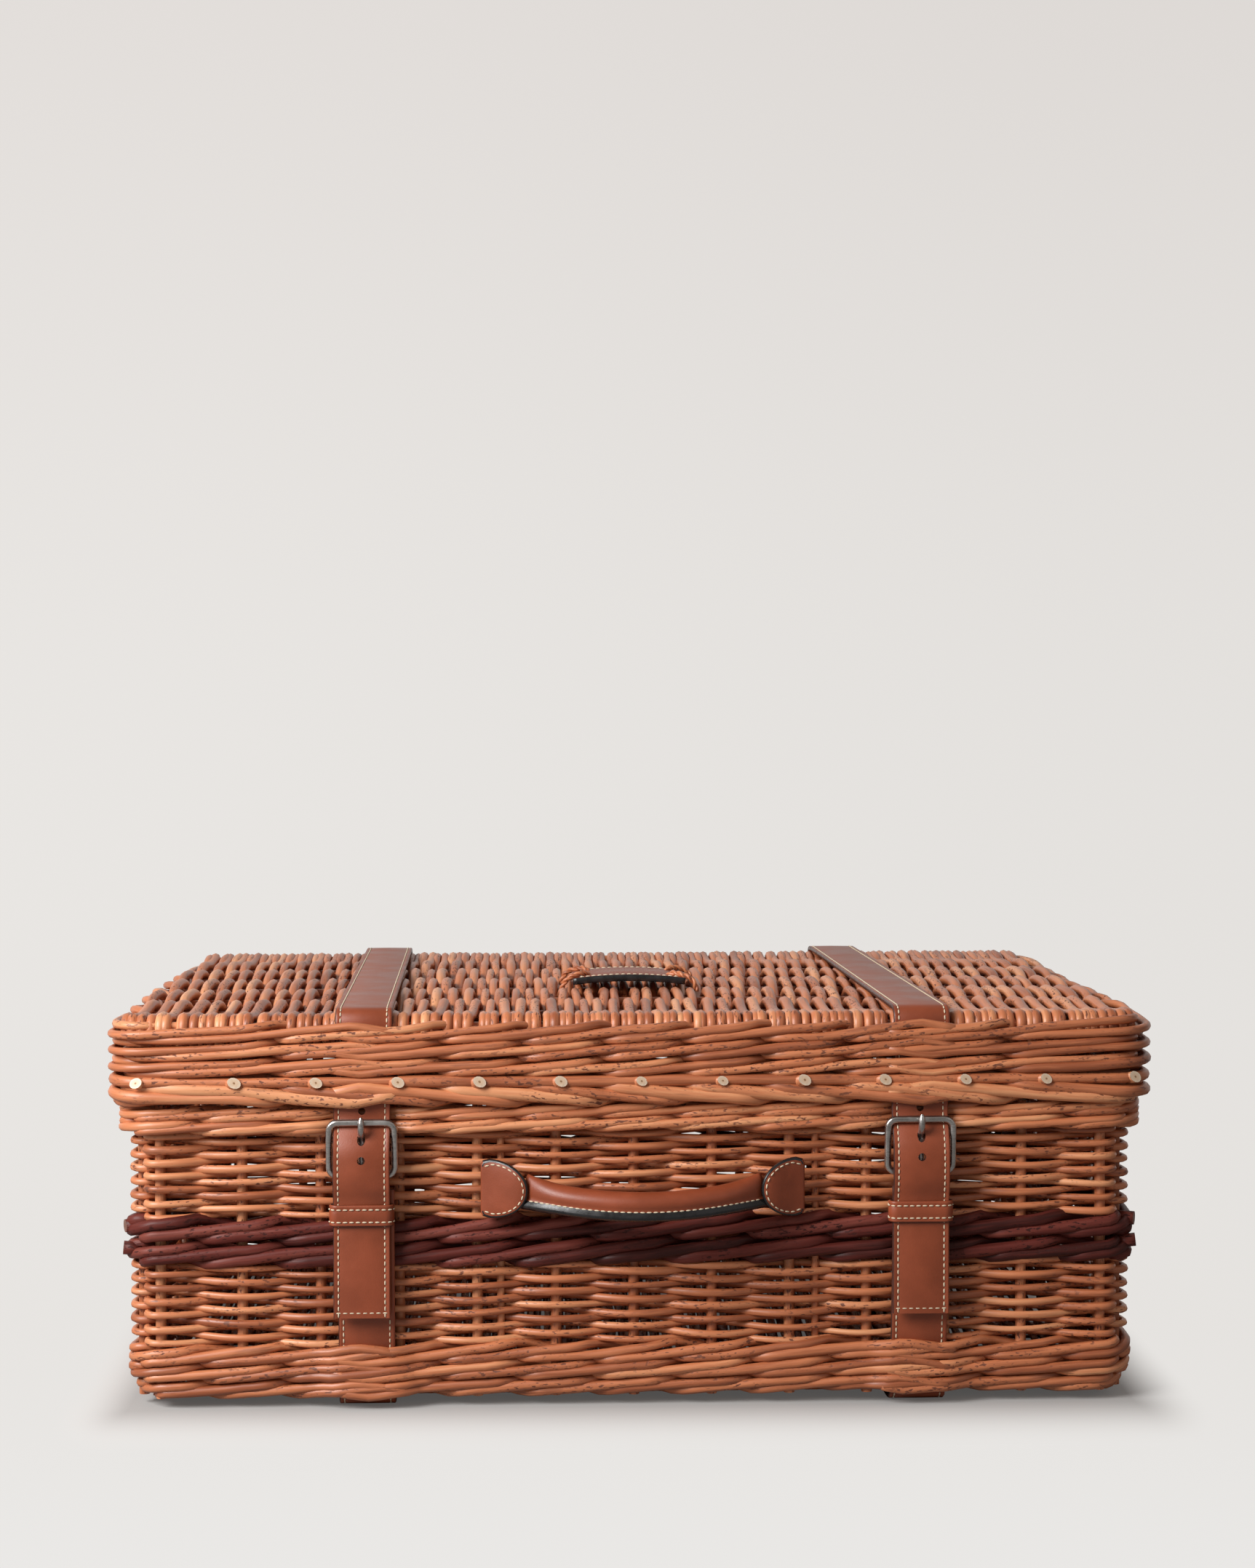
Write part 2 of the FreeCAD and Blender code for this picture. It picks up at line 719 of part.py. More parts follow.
def keeper(side, x):
    """Leather loop that holds the belt's loose end down."""
    body = new_body("keeper_" + side)
    half = size("belt_w") / 2 + 0.4
    base = Vector(x, 0, Z_UP - 2.4)
    outer = box_outline(-half - 1.8, half + 1.8, front_y(13.0), front_y(3.3))
    pad(body, Rotation(), base, outer, 11.4)
    inner = box_outline(-half, half, front_y(11.2), front_y(5.0))
    pocket(body, Rotation(), base, inner, 40)
    return add_part("keeper_" + side, body)


def buckle_frame(side, x):
    """Flat metal frame with a round lower bar; it turns about that bar."""
    body = new_body("buckle_" + side)
    width = size("belt_w") + 2 * size("buckle_side")
    bar = size("bar_w")
    high = size("buckle_h") - bar / 2
    height = size("buckle_h")
    v_mid = high - height / 2
    outer = rounded_rect(width, height, 6.0, v_mid)
    inner = rounded_rect(width - 2 * bar, height - 2 * bar, 2.5, v_mid)
    pad(body, FRONT_PLANE, Vector(), outer + inner, 3.0, True)
    opening = width / 2 - bar - 0.2
    pocket(body, FRONT_PLANE, Vector(),
           box_outline(-opening, opening, -bar, bar), 10)
    pad(body, SIDE_PLANE, Vector(), [circle(0, 0, BAR_R)], width - 2 * bar + 2, True)
    lean = math.degrees(math.atan2(2.5, 28.0))
    body.Placement = Placement(Vector(x, front_y(BAR_OUT), Z_BAR),
                               Rotation(Vector(1, 0, 0), lean))
    return add_part("buckle_frame_" + side, body)


def tongue(side, x):
    """Round tongue that wraps the lower bar and rests on the upper one."""
    loop = new_body("tongue_loop")
    centre = (front_y(BAR_OUT), Z_BAR)
    pad(loop, SIDE_PLANE, Vector(x, 0, 0),
        [circle(*centre, EYE_R + 2.0), circle(*centre, EYE_R)], 3.6, True)
    path = [(9.3, 3.2), (8.0, 17.0), (8.2, 19.5), (13.2, 25.5), (12.8, 30.2)]
    points = [Vector(x, front_y(out), Z_BAR + z) for out, z in path]
    pin = bent_rod(points, 1.6)
    return add_part("tongue_" + side, fuse([loop, pin]))


def make_belts():
    for side, x in belt_places():
        lower_belt(side, x)
        lid_belt(side, x)
        belt_tail(side, x)
        keeper(side, x)
        buckle_frame(side, x)
        tongue(side, x)


# ---------------------------------------------------------------- handle

def tab_webs():
    """X range of each tab's upright web, where it passes through the wall."""
    half = size("handle_w") / 2
    mid = size("shift")
    web = 2.6
    return (("left", mid - half, mid - half + web), ("right", mid + half - web, mid + half))


def handle_tab(side, x0, x1):
    """Half-round leather tab with a web through the wall and an eye inside."""
    body = new_body("handle_tab_" + side)
    way = 1 if side == "left" else -1
    edge = x0 if side == "left" else x1
    z0 = Z_GRIP - TAB_HALF
    z1 = Z_GRIP + TAB_HALF
    shoulder = edge + way * 4.0
    outline = lines([(edge, z1 - 2), (edge, z0 + 2), (shoulder, z0)])
    outline += [Part.Arc(Vector(shoulder, z0, 0), Vector(edge + way * 22.4, Z_GRIP, 0),
                         Vector(shoulder, z1, 0))]
    outline += lines([(shoulder, z1), (edge, z1 - 2)])
    pad(body, FRONT_PLANE, Vector(0, front_y(4.6), 0), outline, 3.0)
    web = box_outline(x0, x1, front_y(7.0), front_y(-WALL - 0.9))
    pad(body, Rotation(), Vector(0, 0, Z_WEB), web, WEB_H)
    mid = (x0 + x1) / 2
    eye_y = front_y(-WALL - 4.9)
    pad(body, Rotation(), Vector(0, 0, Z_WEB),
        [circle(mid, eye_y, 4.6), circle(mid, eye_y, 2.7)], WEB_H)
    return add_part("handle_tab_" + side, body)


def make_anchors():
    """A short rod through each tab's eye, inside the basket."""
    rods = []
    for side, x0, x1 in tab_webs():
        mid = (x0 + x1) / 2
        y = front_y(-WALL - 4.9)
        rods.append(rod(Vector(mid, y, Z_WEB - 5), Vector(mid, y, Z_WEB + WEB_H + 5), 2.5))
    add_part("handle_anchors", group(rods))


def grip_loft(shrink):
    """Smooth bar through round sections that swells towards both ends."""
    reach = size("handle_w") / 2 - 23.2
    out_mid = size("handle_out")
    sections = []
    for share in (-1.0, -0.8, -0.45, 0.0, 0.45, 0.8, 1.0):
        bow = 1 - share * share
        out = GRIP_END_OUT + (out_mid - GRIP_END_OUT) * bow
        z = Z_GRIP - 3.5 * bow
        radius = size("grip_r") + 2.0 * share * share - shrink
        place = Vector(size("shift") + share * reach, 0, 0)
        sections.append(sketch_in(None, SIDE_PLANE, place,
                                  [circle(front_y(out), z, radius)]))
    loft = doc.addObject("Part::Loft", "grip")
    loft.Sections = sections
    loft.Solid = True
    return loft


def make_handle():
    for side, x0, x1 in tab_webs():
        handle_tab(side, x0, x1)
    make_anchors()
    add_part("handle_grip", cut(grip_loft(0.0), grip_loft(2.2)))
    add_part("handle_core", grip_loft(2.5))


# ---------------------------------------------------------------- label and hinges

def make_label():
    """Leather patch on the lid, bowed up a little in the middle."""
    body = new_body("label")
    half = size("label_w") / 2
    low = Z_TOP + 0.4
    mid = size("shift") / 2
    rise = 2.2
    t = size("label_t")
    edges = [Part.Arc(Vector(mid - half, low, 0), Vector(mid, low + rise, 0),
                      Vector(mid + half, low, 0))]
    edges += lines([(mid + half, low), (mid + half, low + t)])
    edges += [Part.Arc(Vector(mid + half, low + t, 0), Vector(mid, low + rise + t, 0),
                       Vector(mid - half, low + t, 0))]
    edges += lines([(mid - half, low + t), (mid - half, low)])
    pad(body, FRONT_PLANE, Vector(0, -20, 0), edges, "sizes.label_d", True)
    add_part("label", body)


def make_label_ties():
    """A twisted willow skein over each corner of the label."""
    ties = []
    mid = size("shift") / 2
    half_w = size("label_w") / 2
    half_d = size("label_d") / 2
    top = Z_TOP + 0.4 + size("label_t")
    for sx in (-1, 1):
        for sy in (-1, 1):
            x = mid + sx * half_w
            y = -20 + sy * half_d
            points = [Vector(x + sx * 5, y + sy * 5, Z_TOP + 2.1),
                      Vector(x + sx * 1, y + sy * 1, top + 3.2),
                      Vector(x - sx * 7, y - sy * 5, top + 3.4)]
            ties.append(bent_rod(points, 1.7))
    add_part("label_ties", group(ties))


HINGE_OUT = 13.2
Z_HINGE = Z_RIM + 0.2


def hinge_places():
    """Three gaps between the lid's rod ends: the two outer ones and a middle one."""
    gap = size("lid_stake_gap")
    count = int((W - 60) // gap)
    reach = (count - 2) / 2
    middle = -0.5 if count % 2 else 0.0
    return [LID_STAKE_MID + share * gap for share in (-reach, middle, reach)]


def make_hinges():
    """Willow loops at the back; each half ends in a knuckle on the hinge line."""
    y = D / 2 + HINGE_OUT
    low = []
    high = []
    for x in hinge_places():
        down = [Vector(x - 3.2, y, Z_HINGE - 1.0), Vector(x - 3.2, y, Z_RIM - 16),
                Vector(x - 3.2, D / 2 + 2.4, Z_RIM - 18)]
        knuckle = rod(Vector(x - 5.6, y, Z_HINGE), Vector(x - 0.3, y, Z_HINGE), 2.0)
        low.append(fuse([bent_rod(down, 2.0), knuckle]))
        up = [Vector(x + 3.2, y, Z_HINGE + 1.0), Vector(x + 3.2, y, Z_WALE - 3.5),
              Vector(x + 3.2, D / 2 + size("lid_out") + 1.0, Z_WALE - 3.0)]
        knuckle = rod(Vector(x + 0.3, y, Z_HINGE), Vector(x + 5.6, y, Z_HINGE), 2.0)
        high.append(fuse([bent_rod(up, 2.0), knuckle]))
    add_part("hinge_loops_basket", group(low))
    add_part("hinge_loops_lid", group(high))


# ---------------------------------------------------------------- build and write

def check(feature):
    """Stop if a feature is in error or its shape is not sound."""
    if "Invalid" in feature.State or "Error" in feature.State:
        raise RuntimeError("feature failed: " + feature.Label)
    shape = getattr(feature, "Shape", None)
    if shape is not None and not shape.isNull() and not shape.isValid():
        raise RuntimeError("shape not valid: " + feature.Label)


def write_parts():
    os.makedirs("parts", exist_ok=True)
    for label, feature in parts:
        if not feature.Shape.Solids:
            raise RuntimeError("no solid: " + label)
        feature.Shape.exportStep("parts/" + label + ".step")


make_base()
make_rings()
make_uprights()
make_rod_ends()
make_lid_panel()
make_belts()
make_handle()
make_label()
make_label_ties()
make_hinges()
doc.recompute()
for item in doc.Objects:
    check(item)
write_parts()
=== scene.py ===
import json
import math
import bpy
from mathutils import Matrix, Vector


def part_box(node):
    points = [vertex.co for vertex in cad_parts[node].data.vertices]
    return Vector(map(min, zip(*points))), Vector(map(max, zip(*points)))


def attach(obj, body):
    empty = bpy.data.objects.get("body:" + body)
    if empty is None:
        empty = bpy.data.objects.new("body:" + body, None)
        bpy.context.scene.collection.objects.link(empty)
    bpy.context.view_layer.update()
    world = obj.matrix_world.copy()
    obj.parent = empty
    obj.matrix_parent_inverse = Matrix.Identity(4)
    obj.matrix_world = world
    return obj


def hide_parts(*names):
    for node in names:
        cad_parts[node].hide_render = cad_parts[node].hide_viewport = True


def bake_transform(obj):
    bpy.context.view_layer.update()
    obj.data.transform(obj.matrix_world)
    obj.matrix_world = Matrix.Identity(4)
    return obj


bl_info = {
    "name": "Willow hamper",
    "version": (1, 0, 0),
    "blender": (4, 5, 0),
    "location": "View3D > Sidebar > Hamper",
    "description": "Weaves the willow of a picnic hamper and finishes its leather and metal",
    "category": "Object",
}

import bpy
import numpy as np
from bpy.props import FloatProperty, FloatVectorProperty, IntProperty, PointerProperty
from mathutils import Matrix, Vector

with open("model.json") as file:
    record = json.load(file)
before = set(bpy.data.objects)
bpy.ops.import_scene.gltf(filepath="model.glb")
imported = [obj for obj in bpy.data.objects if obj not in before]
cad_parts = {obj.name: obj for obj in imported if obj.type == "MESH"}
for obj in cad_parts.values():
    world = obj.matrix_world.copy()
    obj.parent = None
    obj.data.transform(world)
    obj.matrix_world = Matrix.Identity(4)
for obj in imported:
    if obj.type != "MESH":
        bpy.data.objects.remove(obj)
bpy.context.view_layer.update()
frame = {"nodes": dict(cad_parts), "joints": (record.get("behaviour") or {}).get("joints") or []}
PIVOTS = {joint["name"]: Vector(joint["pos_m"]) for joint in frame["joints"]}

# ------------------------------------------------------------ sizes from the frame

SIDING_LOW, SIDING_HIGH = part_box("lower_siding")
HALF_W = (SIDING_HIGH.x - SIDING_LOW.x) / 2
HALF_D = (SIDING_HIGH.y - SIDING_LOW.y) / 2
# distances out of the siding, in metres
STAKE_LINE = -0.007
BELT_OUT = 0.0047
BILLET_OUT = 0.0066
HANDLE_OUT = 0.0096
CORNER = 0.0105
LID_CORNER = 0.014
LID_OVER = 0.0020
BELT_T = 0.0026
BELT_HALF = 0.0165
BELT_LEAN = 0.0075
# buckles, tails and keepers stand this much left of their CAD boxes
BUCKLE_SHIFT = 0.001
SIDES = {"left": -1, "right": 1}
# heights where the belts' lengths meet: across the hinge at the back, and the tails' tops
BACK_LOW = 0.150
BACK_HIGH = 0.176
TAIL_TOP = 0.1706


def level(node):
    """Lowest and highest Z of a CAD node."""
    low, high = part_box(node)
    return low.z, high.z


def middle_x(node):
    low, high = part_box(node)
    return (low.x + high.x) / 2


def ease(share):
    """Turn a share from 0 to 1 into one that starts and ends softly."""
    return share * share * (3 - 2 * share)


def linked(name, data):
    """A new object in the scene, at the origin."""
    obj = bpy.data.objects.new(name, data)
    bpy.context.scene.collection.objects.link(obj)
    return obj


def paint(obj, finishes, picks):
    """Give an object its finishes, and each face the number of its own."""
    for finish in finishes:
        obj.data.materials.append(material(finish))
    obj.data.polygons.foreach_set("material_index", picks)


def vertex_places(mesh):
    """The places of a mesh's vertices, one row each."""
    flat = np.zeros(len(mesh.vertices) * 3)
    mesh.vertices.foreach_get("co", flat)
    return flat.reshape(-1, 3)


def upright_places(*nodes):
    """(x, y) of each upright in the CAD nodes, found from its vertices."""
    widest = 0.0075
    places = []
    for node in nodes:
        left = vertex_places(frame["nodes"][node].data)[:, :2]
        while len(left):
            near = np.linalg.norm(left - left[0], axis=1) < widest
            group = left[near]
            places.append(tuple((group.min(0) + group.max(0)) / 2))
            left = left[~near]
    return places


# ------------------------------------------------------------ properties


def tint(name, description, red, green, blue):
    """A colour property."""
    return FloatVectorProperty(name=name, description=description, subtype="COLOR", size=4,
                               default=(red, green, blue, 1))


class HamperWillow(bpy.types.PropertyGroup):
    seed: IntProperty(name="Seed", description="Sets where the rods wander", default=7)
    girth: FloatProperty(name="Rod", description="Radius of a siding rod at its butt",
                         default=0.00215, unit="LENGTH")
    light: tint("Light", "Palest rods", 0.76, 0.335, 0.155)
    mid: tint("Middle", "Most rods", 0.57, 0.185, 0.074)
    deep: tint("Deep", "Darkest rods", 0.32, 0.085, 0.030)
    speck: tint("Speck", "Bark left on the rods", 0.16, 0.045, 0.02)
    band_light: tint("Band light", "Pale streaks of the band", 0.21, 0.052, 0.036)
    band_mid: tint("Band", "Dark stained rods", 0.118, 0.021, 0.015)
    band_deep: tint("Band deep", "Darkest streaks", 0.040, 0.008, 0.006)


class HamperLeather(bpy.types.PropertyGroup):
    tan: tint("Tan", "Colour of the leather", 0.275, 0.058, 0.021)
    edge: tint("Edge", "Dark painted edge of the belts", 0.075, 0.022, 0.014)
    seam: tint("Seam", "Black painted edge of the handle", 0.018, 0.017, 0.018)
    thread: tint("Thread", "Colour of the thread", 0.80, 0.70, 0.54)
    pitch: FloatProperty(name="Stitch pitch", description="From one stitch to the next",
                         default=0.0034, unit="LENGTH")
    stitch: FloatProperty(name="Stitch length", description="Length of a stitch",
                          default=0.0026, unit="LENGTH")
    groove: FloatProperty(name="Stitch margin", description="From the edge to the stitches",
                          default=0.0027, unit="LENGTH")


class HamperStage(bpy.types.PropertyGroup):
    key: FloatProperty(name="Key", description="Strength of the main lamp", default=35.0,
                       unit="POWER")
    fill: FloatProperty(name="Fill", description="Strength of the fill lamp", default=1.5,
                        unit="POWER")
    ambient: FloatProperty(name="Ambient", description="Strength of the soft light around",
                           default=0.26)
    pale: tint("Backdrop", "Colour of floor and backdrop", 0.84, 0.82, 0.80)


# ------------------------------------------------------------ node helpers


class Tree:
    """Short ways to add and join nodes in one tree."""

    def __init__(self, tree):
        self.tree = tree

    def add(self, kind, **settings):
        node = self.tree.nodes.new(kind)
        for name, value in settings.items():
            setattr(node, name, value)
        return node

    def put(self, socket, value):
        """Join a socket to another one, or set its value."""
        if isinstance(value, bpy.types.NodeSocket):
            self.tree.links.new(value, socket)
        else:
            socket.default_value = value

    def wire(self, sockets, values):
        """Join or set sockets, given by name or number."""
        for key, value in values.items():
            self.put(sockets[key], value)

    def use(self, kind, values, **settings):
        """Add a node, join or set its inputs, and give its outputs."""
        node = self.add(kind, **settings)
        self.wire(node.inputs, values)
        return node.outputs

    def math(self, operation, a, b=0.0):
        return self.use("ShaderNodeMath", {0: a, 1: b}, operation=operation)[0]

    def stretch(self, vector, scale):
        """A vector scaled by different amounts along its three axes."""
        return self.use("ShaderNodeVectorMath", {0: vector, 1: scale}, operation="MULTIPLY")[0]

    def noise(self, vector, scale=1.0, detail=2.0, rough=0.5):
        return self.use("ShaderNodeTexNoise", {"Vector": vector, "Scale": scale,
                                               "Detail": detail, "Roughness": rough})["Fac"]

    def step(self, value, low, high, out_low=0.0, out_high=1.0):
        """Map a value smoothly from one range to another, clamped."""
        return self.use("ShaderNodeMapRange", {
            "Value": value, "From Min": low, "From Max": high, "To Min": out_low,
            "To Max": out_high}, interpolation_type="SMOOTHSTEP")["Result"]

    def mix(self, share, a, b):
        return self.use("ShaderNodeMix", {"Factor": share, 6: a, 7: b}, data_type="RGBA")[2]

    def attribute(self, name):
        return self.add("ShaderNodeAttribute", attribute_name=name).outputs

    def here(self):
        """The place on the object."""
        return self.add("ShaderNodeTexCoord").outputs["Object"]

    def combined(self, *values):
        return self.use("ShaderNodeCombineXYZ", dict(enumerate(values)))[0]

    def separated(self, vector):
        return self.use("ShaderNodeSeparateXYZ", {0: vector})


def new_group(name, kind, inputs, outputs):
    """An empty node group with named sockets, and its input and output nodes."""
    group = bpy.data.node_groups.new(name, kind)
    for socket, socket_kind, value in inputs:
        made = group.interface.new_socket(socket, in_out="INPUT", socket_type=socket_kind)
        if value is not None:
            made.default_value = value
    for socket, socket_kind in outputs:
        group.interface.new_socket(socket, in_out="OUTPUT", socket_type=socket_kind)
    tree = Tree(group)
    return tree, tree.add("NodeGroupInput").outputs, tree.add("NodeGroupOutput").inputs


def group_named(name, maker):
    return bpy.data.node_groups.get(name) or maker(name)


def dimmed(colour, share):
    return tuple(share * value for value in colour[:3]) + (1,)


def new_material(name):
    """A material with its Principled shader, ready for links."""
    material = bpy.data.materials.new(name)
    material.use_nodes = True
    tree = Tree(material.node_tree)
    return material, tree, material.node_tree.nodes["Principled BSDF"]


def bump(tree, shader, height, strength, distance):
    values = {"Strength": strength, "Distance": distance, "Height": height}
    tree.put(shader.inputs["Normal"], tree.use("ShaderNodeBump", values)["Normal"])


# ------------------------------------------------------------ materials

COLOUR = "NodeSocketColor"
NUMBER = "NodeSocketFloat"
VECTOR = "NodeSocketVector"
GREY = (0.5, 0.5, 0.5, 1)


def make_bark(name):
    """Peeled willow: streaks along the rod, specks, bark patches and pale cut ends."""
    tree, given, out = new_group(name, "ShaderNodeTree", [
        ("Grain", VECTOR, None), ("Tone", NUMBER, 0.5), ("Cut", NUMBER, 0.0),
        ("Light", COLOUR, GREY), ("Middle", COLOUR, GREY), ("Deep", COLOUR, GREY),
        ("Speck", COLOUR, GREY), ("Specks", NUMBER, 1.0)],
        [("Color", COLOUR), ("Roughness", NUMBER), ("Height", NUMBER)])
    grain = given["Grain"]
    streak = tree.noise(tree.stretch(grain, (45, 620, 620)), 1.0, 4.0, 0.6)
    broad = tree.noise(tree.stretch(grain, (11, 130, 130)), 1.0, 2.0)
    shade = tree.math("ADD", tree.math("MULTIPLY", given["Tone"], 0.62),
                      tree.math("MULTIPLY", tree.math("SUBTRACT", streak, 0.5), 0.75))
    shade = tree.math("ADD", shade, tree.math("MULTIPLY", tree.math("SUBTRACT", broad, 0.5), 0.9))
    shade = tree.math("ADD", shade, 0.16)
    low = tree.mix(tree.step(shade, 0.0, 0.5), given["Deep"], given["Middle"])
    body = tree.mix(tree.step(shade, 0.42, 0.95), low, given["Light"])
    spots = tree.step(tree.noise(tree.stretch(grain, (300, 800, 800)), 1.0, 2.0), 0.57, 0.65)
    patch = tree.step(tree.noise(tree.stretch(grain, (16, 90, 90)), 1.0, 1.0), 0.43, 0.60)
    mask = tree.math("MULTIPLY", tree.math("MULTIPLY", spots, patch), given["Specks"])
    bark = tree.step(tree.noise(tree.stretch(grain, (26, 260, 260)), 1.0, 3.0), 0.63, 0.72)
    mask = tree.math("MAXIMUM", mask, tree.math("MULTIPLY", bark, 0.45))
    body = tree.mix(mask, body, given["Speck"])
    radius = tree.use("ShaderNodeVectorMath", {0: tree.stretch(grain, (0, 1, 1))},
                      operation="LENGTH")["Value"]
    wood = tree.mix(tree.step(radius, 0.0009, 0.0026), (0.86, 0.62, 0.42, 1),
                    (0.90, 0.72, 0.54, 1))
    wood = tree.mix(tree.step(radius, 0.0003, 0.0007, 1.0, 0.0), wood, (0.42, 0.22, 0.10, 1))
    tree.put(out["Color"], tree.mix(given["Cut"], body, wood))
    rough = tree.math("ADD", tree.math("MULTIPLY", streak, 0.25), 0.34)
    rough = tree.math("ADD", rough, tree.math("MULTIPLY", mask, 0.2))
    tree.put(out["Roughness"], tree.math("ADD", rough, tree.math("MULTIPLY", given["Cut"], 0.3)))
    tree.put(out["Height"], tree.math("SUBTRACT", streak, tree.math("MULTIPLY", mask, 0.5)))
    return tree.tree


def willow_material(name, light, mid, deep, speck, gloss=0.5, coat=0.32, ends=1.0):
    material, tree, shader = new_material(name)
    cut = tree.math("MULTIPLY", tree.attribute("cut")["Fac"], ends)
    found = tree.use("ShaderNodeGroup", {
        "Grain": tree.attribute("grain")["Vector"], "Tone": tree.attribute("tone")["Fac"],
        "Cut": cut, "Light": light, "Middle": mid, "Deep": deep, "Speck": speck},
        node_tree=group_named("Willow bark", make_bark))
    tree.wire(shader.inputs, {
        "Base Color": found["Color"], "Roughness": found["Roughness"],
        "Specular IOR Level": gloss, "Coat Weight": coat, "Coat Roughness": 0.35})
    bump(tree, shader, found["Height"], 0.5, 0.0005)
    return material


def make_hide(name):
    """Leather: fine pores, soft clouding and a little wear."""
    tree, given, out = new_group(name, "ShaderNodeTree", [
        ("Colour", COLOUR, GREY), ("Grain size", NUMBER, 900.0), ("Depth", NUMBER, 1.0)],
        [("Color", COLOUR), ("Roughness", NUMBER), ("Height", NUMBER)])
    place = tree.here()
    cloud = tree.noise(place, 38.0, 4.0, 0.6)
    pore = tree.use("ShaderNodeTexVoronoi", {"Vector": place, "Scale": given["Grain size"]},
                    feature="F1")["Distance"]
    fine = tree.noise(place, 2100.0, 2.0)
    darker, paler = [tree.use("ShaderNodeHueSaturation", {"Color": given["Colour"],
                                                          "Value": value})[0]
                     for value in (0.84, 1.11)]
    body = tree.mix(tree.step(cloud, 0.3, 0.7), darker, paler)
    shade = tree.math("MULTIPLY", tree.step(pore, 0.1, 0.5, 1.0, 0.0), given["Depth"])
    tree.put(out["Color"], tree.mix(tree.math("MULTIPLY", shade, 0.35), body, darker))
    tree.put(out["Roughness"], tree.step(tree.math("ADD", cloud, tree.math("MULTIPLY", fine, 0.4)),
                                         0.4, 1.0, 0.36, 0.52))
    rise = tree.math("MULTIPLY", tree.step(pore, 0.0, 0.6), given["Depth"])
    tree.put(out["Height"], tree.math("ADD", rise, tree.math("MULTIPLY", fine, 0.25)))
    return tree.tree


def leather_material(name, colour, grain_size, depth, strength):
    material, tree, shader = new_material(name)
    found = tree.use("ShaderNodeGroup", {
        "Colour": colour, "Grain size": grain_size, "Depth": depth},
        node_tree=group_named("Leather hide", make_hide))
    tree.wire(shader.inputs, {"Base Color": found["Color"], "Roughness": found["Roughness"]})
    bump(tree, shader, found["Height"], strength, 0.0003)
    return material


def painted_material(name, colour, rough=0.38):
    """Painted edge of the leather: faintly uneven gloss."""
    material, tree, shader = new_material(name)
    cloud = tree.noise(tree.here(), 260.0, 3.0)
    tree.wire(shader.inputs, {
        "Base Color": tree.mix(tree.step(cloud, 0.3, 0.7), dimmed(colour, 0.6), colour),
        "Roughness": tree.step(cloud, 0.3, 0.7, rough - 0.06, rough + 0.1)})
    bump(tree, shader, cloud, 0.3, 0.0003)
    return material


def thread_material(colour):
    material, tree, shader = new_material("Waxed thread")
    twist = tree.noise(tree.here(), 1500.0, 2.0)
    dark = (colour[0] * 0.72, colour[1] * 0.66, colour[2] * 0.56, 1)
    tree.wire(shader.inputs, {"Base Color": tree.mix(twist, dark, colour),
                              "Roughness": tree.step(twist, 0.2, 0.8, 0.5, 0.8)})
    bump(tree, shader, twist, 0.6, 0.0002)
    return material


def metal_material():
    """Satin antique nickel, brushed along X, a little darker in its scratches."""
    material, tree, shader = new_material("Antique nickel")
    place = tree.here()
    brush = tree.noise(tree.stretch(place, (120, 2400, 2400)), 1.0, 3.0)
    cloud = tree.noise(place, 120.0, 3.0)
    colour = tree.mix(tree.step(cloud, 0.35, 0.7), (0.46, 0.44, 0.42, 1), (0.64, 0.62, 0.60, 1))
    scratch = tree.step(brush, 0.3, 0.55, 0.4, 0.0)
    tree.wire(shader.inputs, {
        "Base Color": tree.mix(scratch, colour, (0.20, 0.18, 0.16, 1)), "Metallic": 1.0,
        "Roughness": tree.step(tree.math("ADD", brush, cloud), 0.7, 1.3, 0.24, 0.38)})
    bump(tree, shader, brush, 0.25, 0.0001)
    return material


def material(name):
    """One of the hamper's finishes, made the first time that it is asked for."""
    found = bpy.data.materials.get(name)
    if found:
        return found
    willow = bpy.context.scene.hamper_willow
    leather = bpy.context.scene.hamper_leather
    if name == "Buff willow":
        return willow_material(name, willow.light, willow.mid, willow.deep, willow.speck)
    if name == "Dark willow":
        return willow_material(name, willow.band_light, willow.band_mid, willow.band_deep,
                               willow.band_deep, 0.22, 0.04, 0.12)
    if name == "Belt leather":
        return leather_material(name, leather.tan, 1300.0, 0.35, 0.25)
    if name == "Label leather":
        return leather_material(name, leather.tan, 620.0, 1.0, 1.0)
    if name == "Belt edge":
        return painted_material(name, leather.edge)
    if name == "Black edge":
        return painted_material(name, leather.seam, 0.3)
    if name == "Waxed thread":
        return thread_material(leather.thread)
    if name == "Antique nickel":
        return metal_material()
    raise KeyError(name)


# ------------------------------------------------------------ geometry node trees

GEOMETRY = "NodeSocketGeometry"
MATERIAL = "NodeSocketMaterial"


def named(tree, name, kind="FLOAT"):
    return tree.use("GeometryNodeInputNamedAttribute", {"Name": name},
                    data_type=kind)["Attribute"]


def store(tree, geometry, name, kind, domain, value):
    return tree.use("GeometryNodeStoreNamedAttribute",
                    {"Geometry": geometry, "Name": name, "Value": value},
                    data_type=kind, domain=domain)["Geometry"]


def shaded(tree, geometry, smooth):
    return tree.use("GeometryNodeSetShadeSmooth",
                    {"Geometry": geometry, "Shade Smooth": smooth})["Geometry"]


def instanced(tree, points, instance, vector, scale):
    """A copy of the instance on each point, scaled and with its Z turned to the vector."""
    turn = tree.use("FunctionNodeAlignRotationToVector", {"Vector": vector}, axis="Z")
    return tree.use("GeometryNodeInstanceOnPoints", {
        "Points": points, "Instance": instance, "Rotation": turn["Rotation"],
        "Scale": scale})["Instances"]


def line_tree(name, *inputs):
    """A geometry tree that starts with the mesh's loose edges as curves."""
    tree, given, out = geometry_tree(name, *inputs)
    curve = tree.use("GeometryNodeMeshToCurve", {"Mesh": given["Geometry"]})["Curve"]
    return tree, given, out, curve


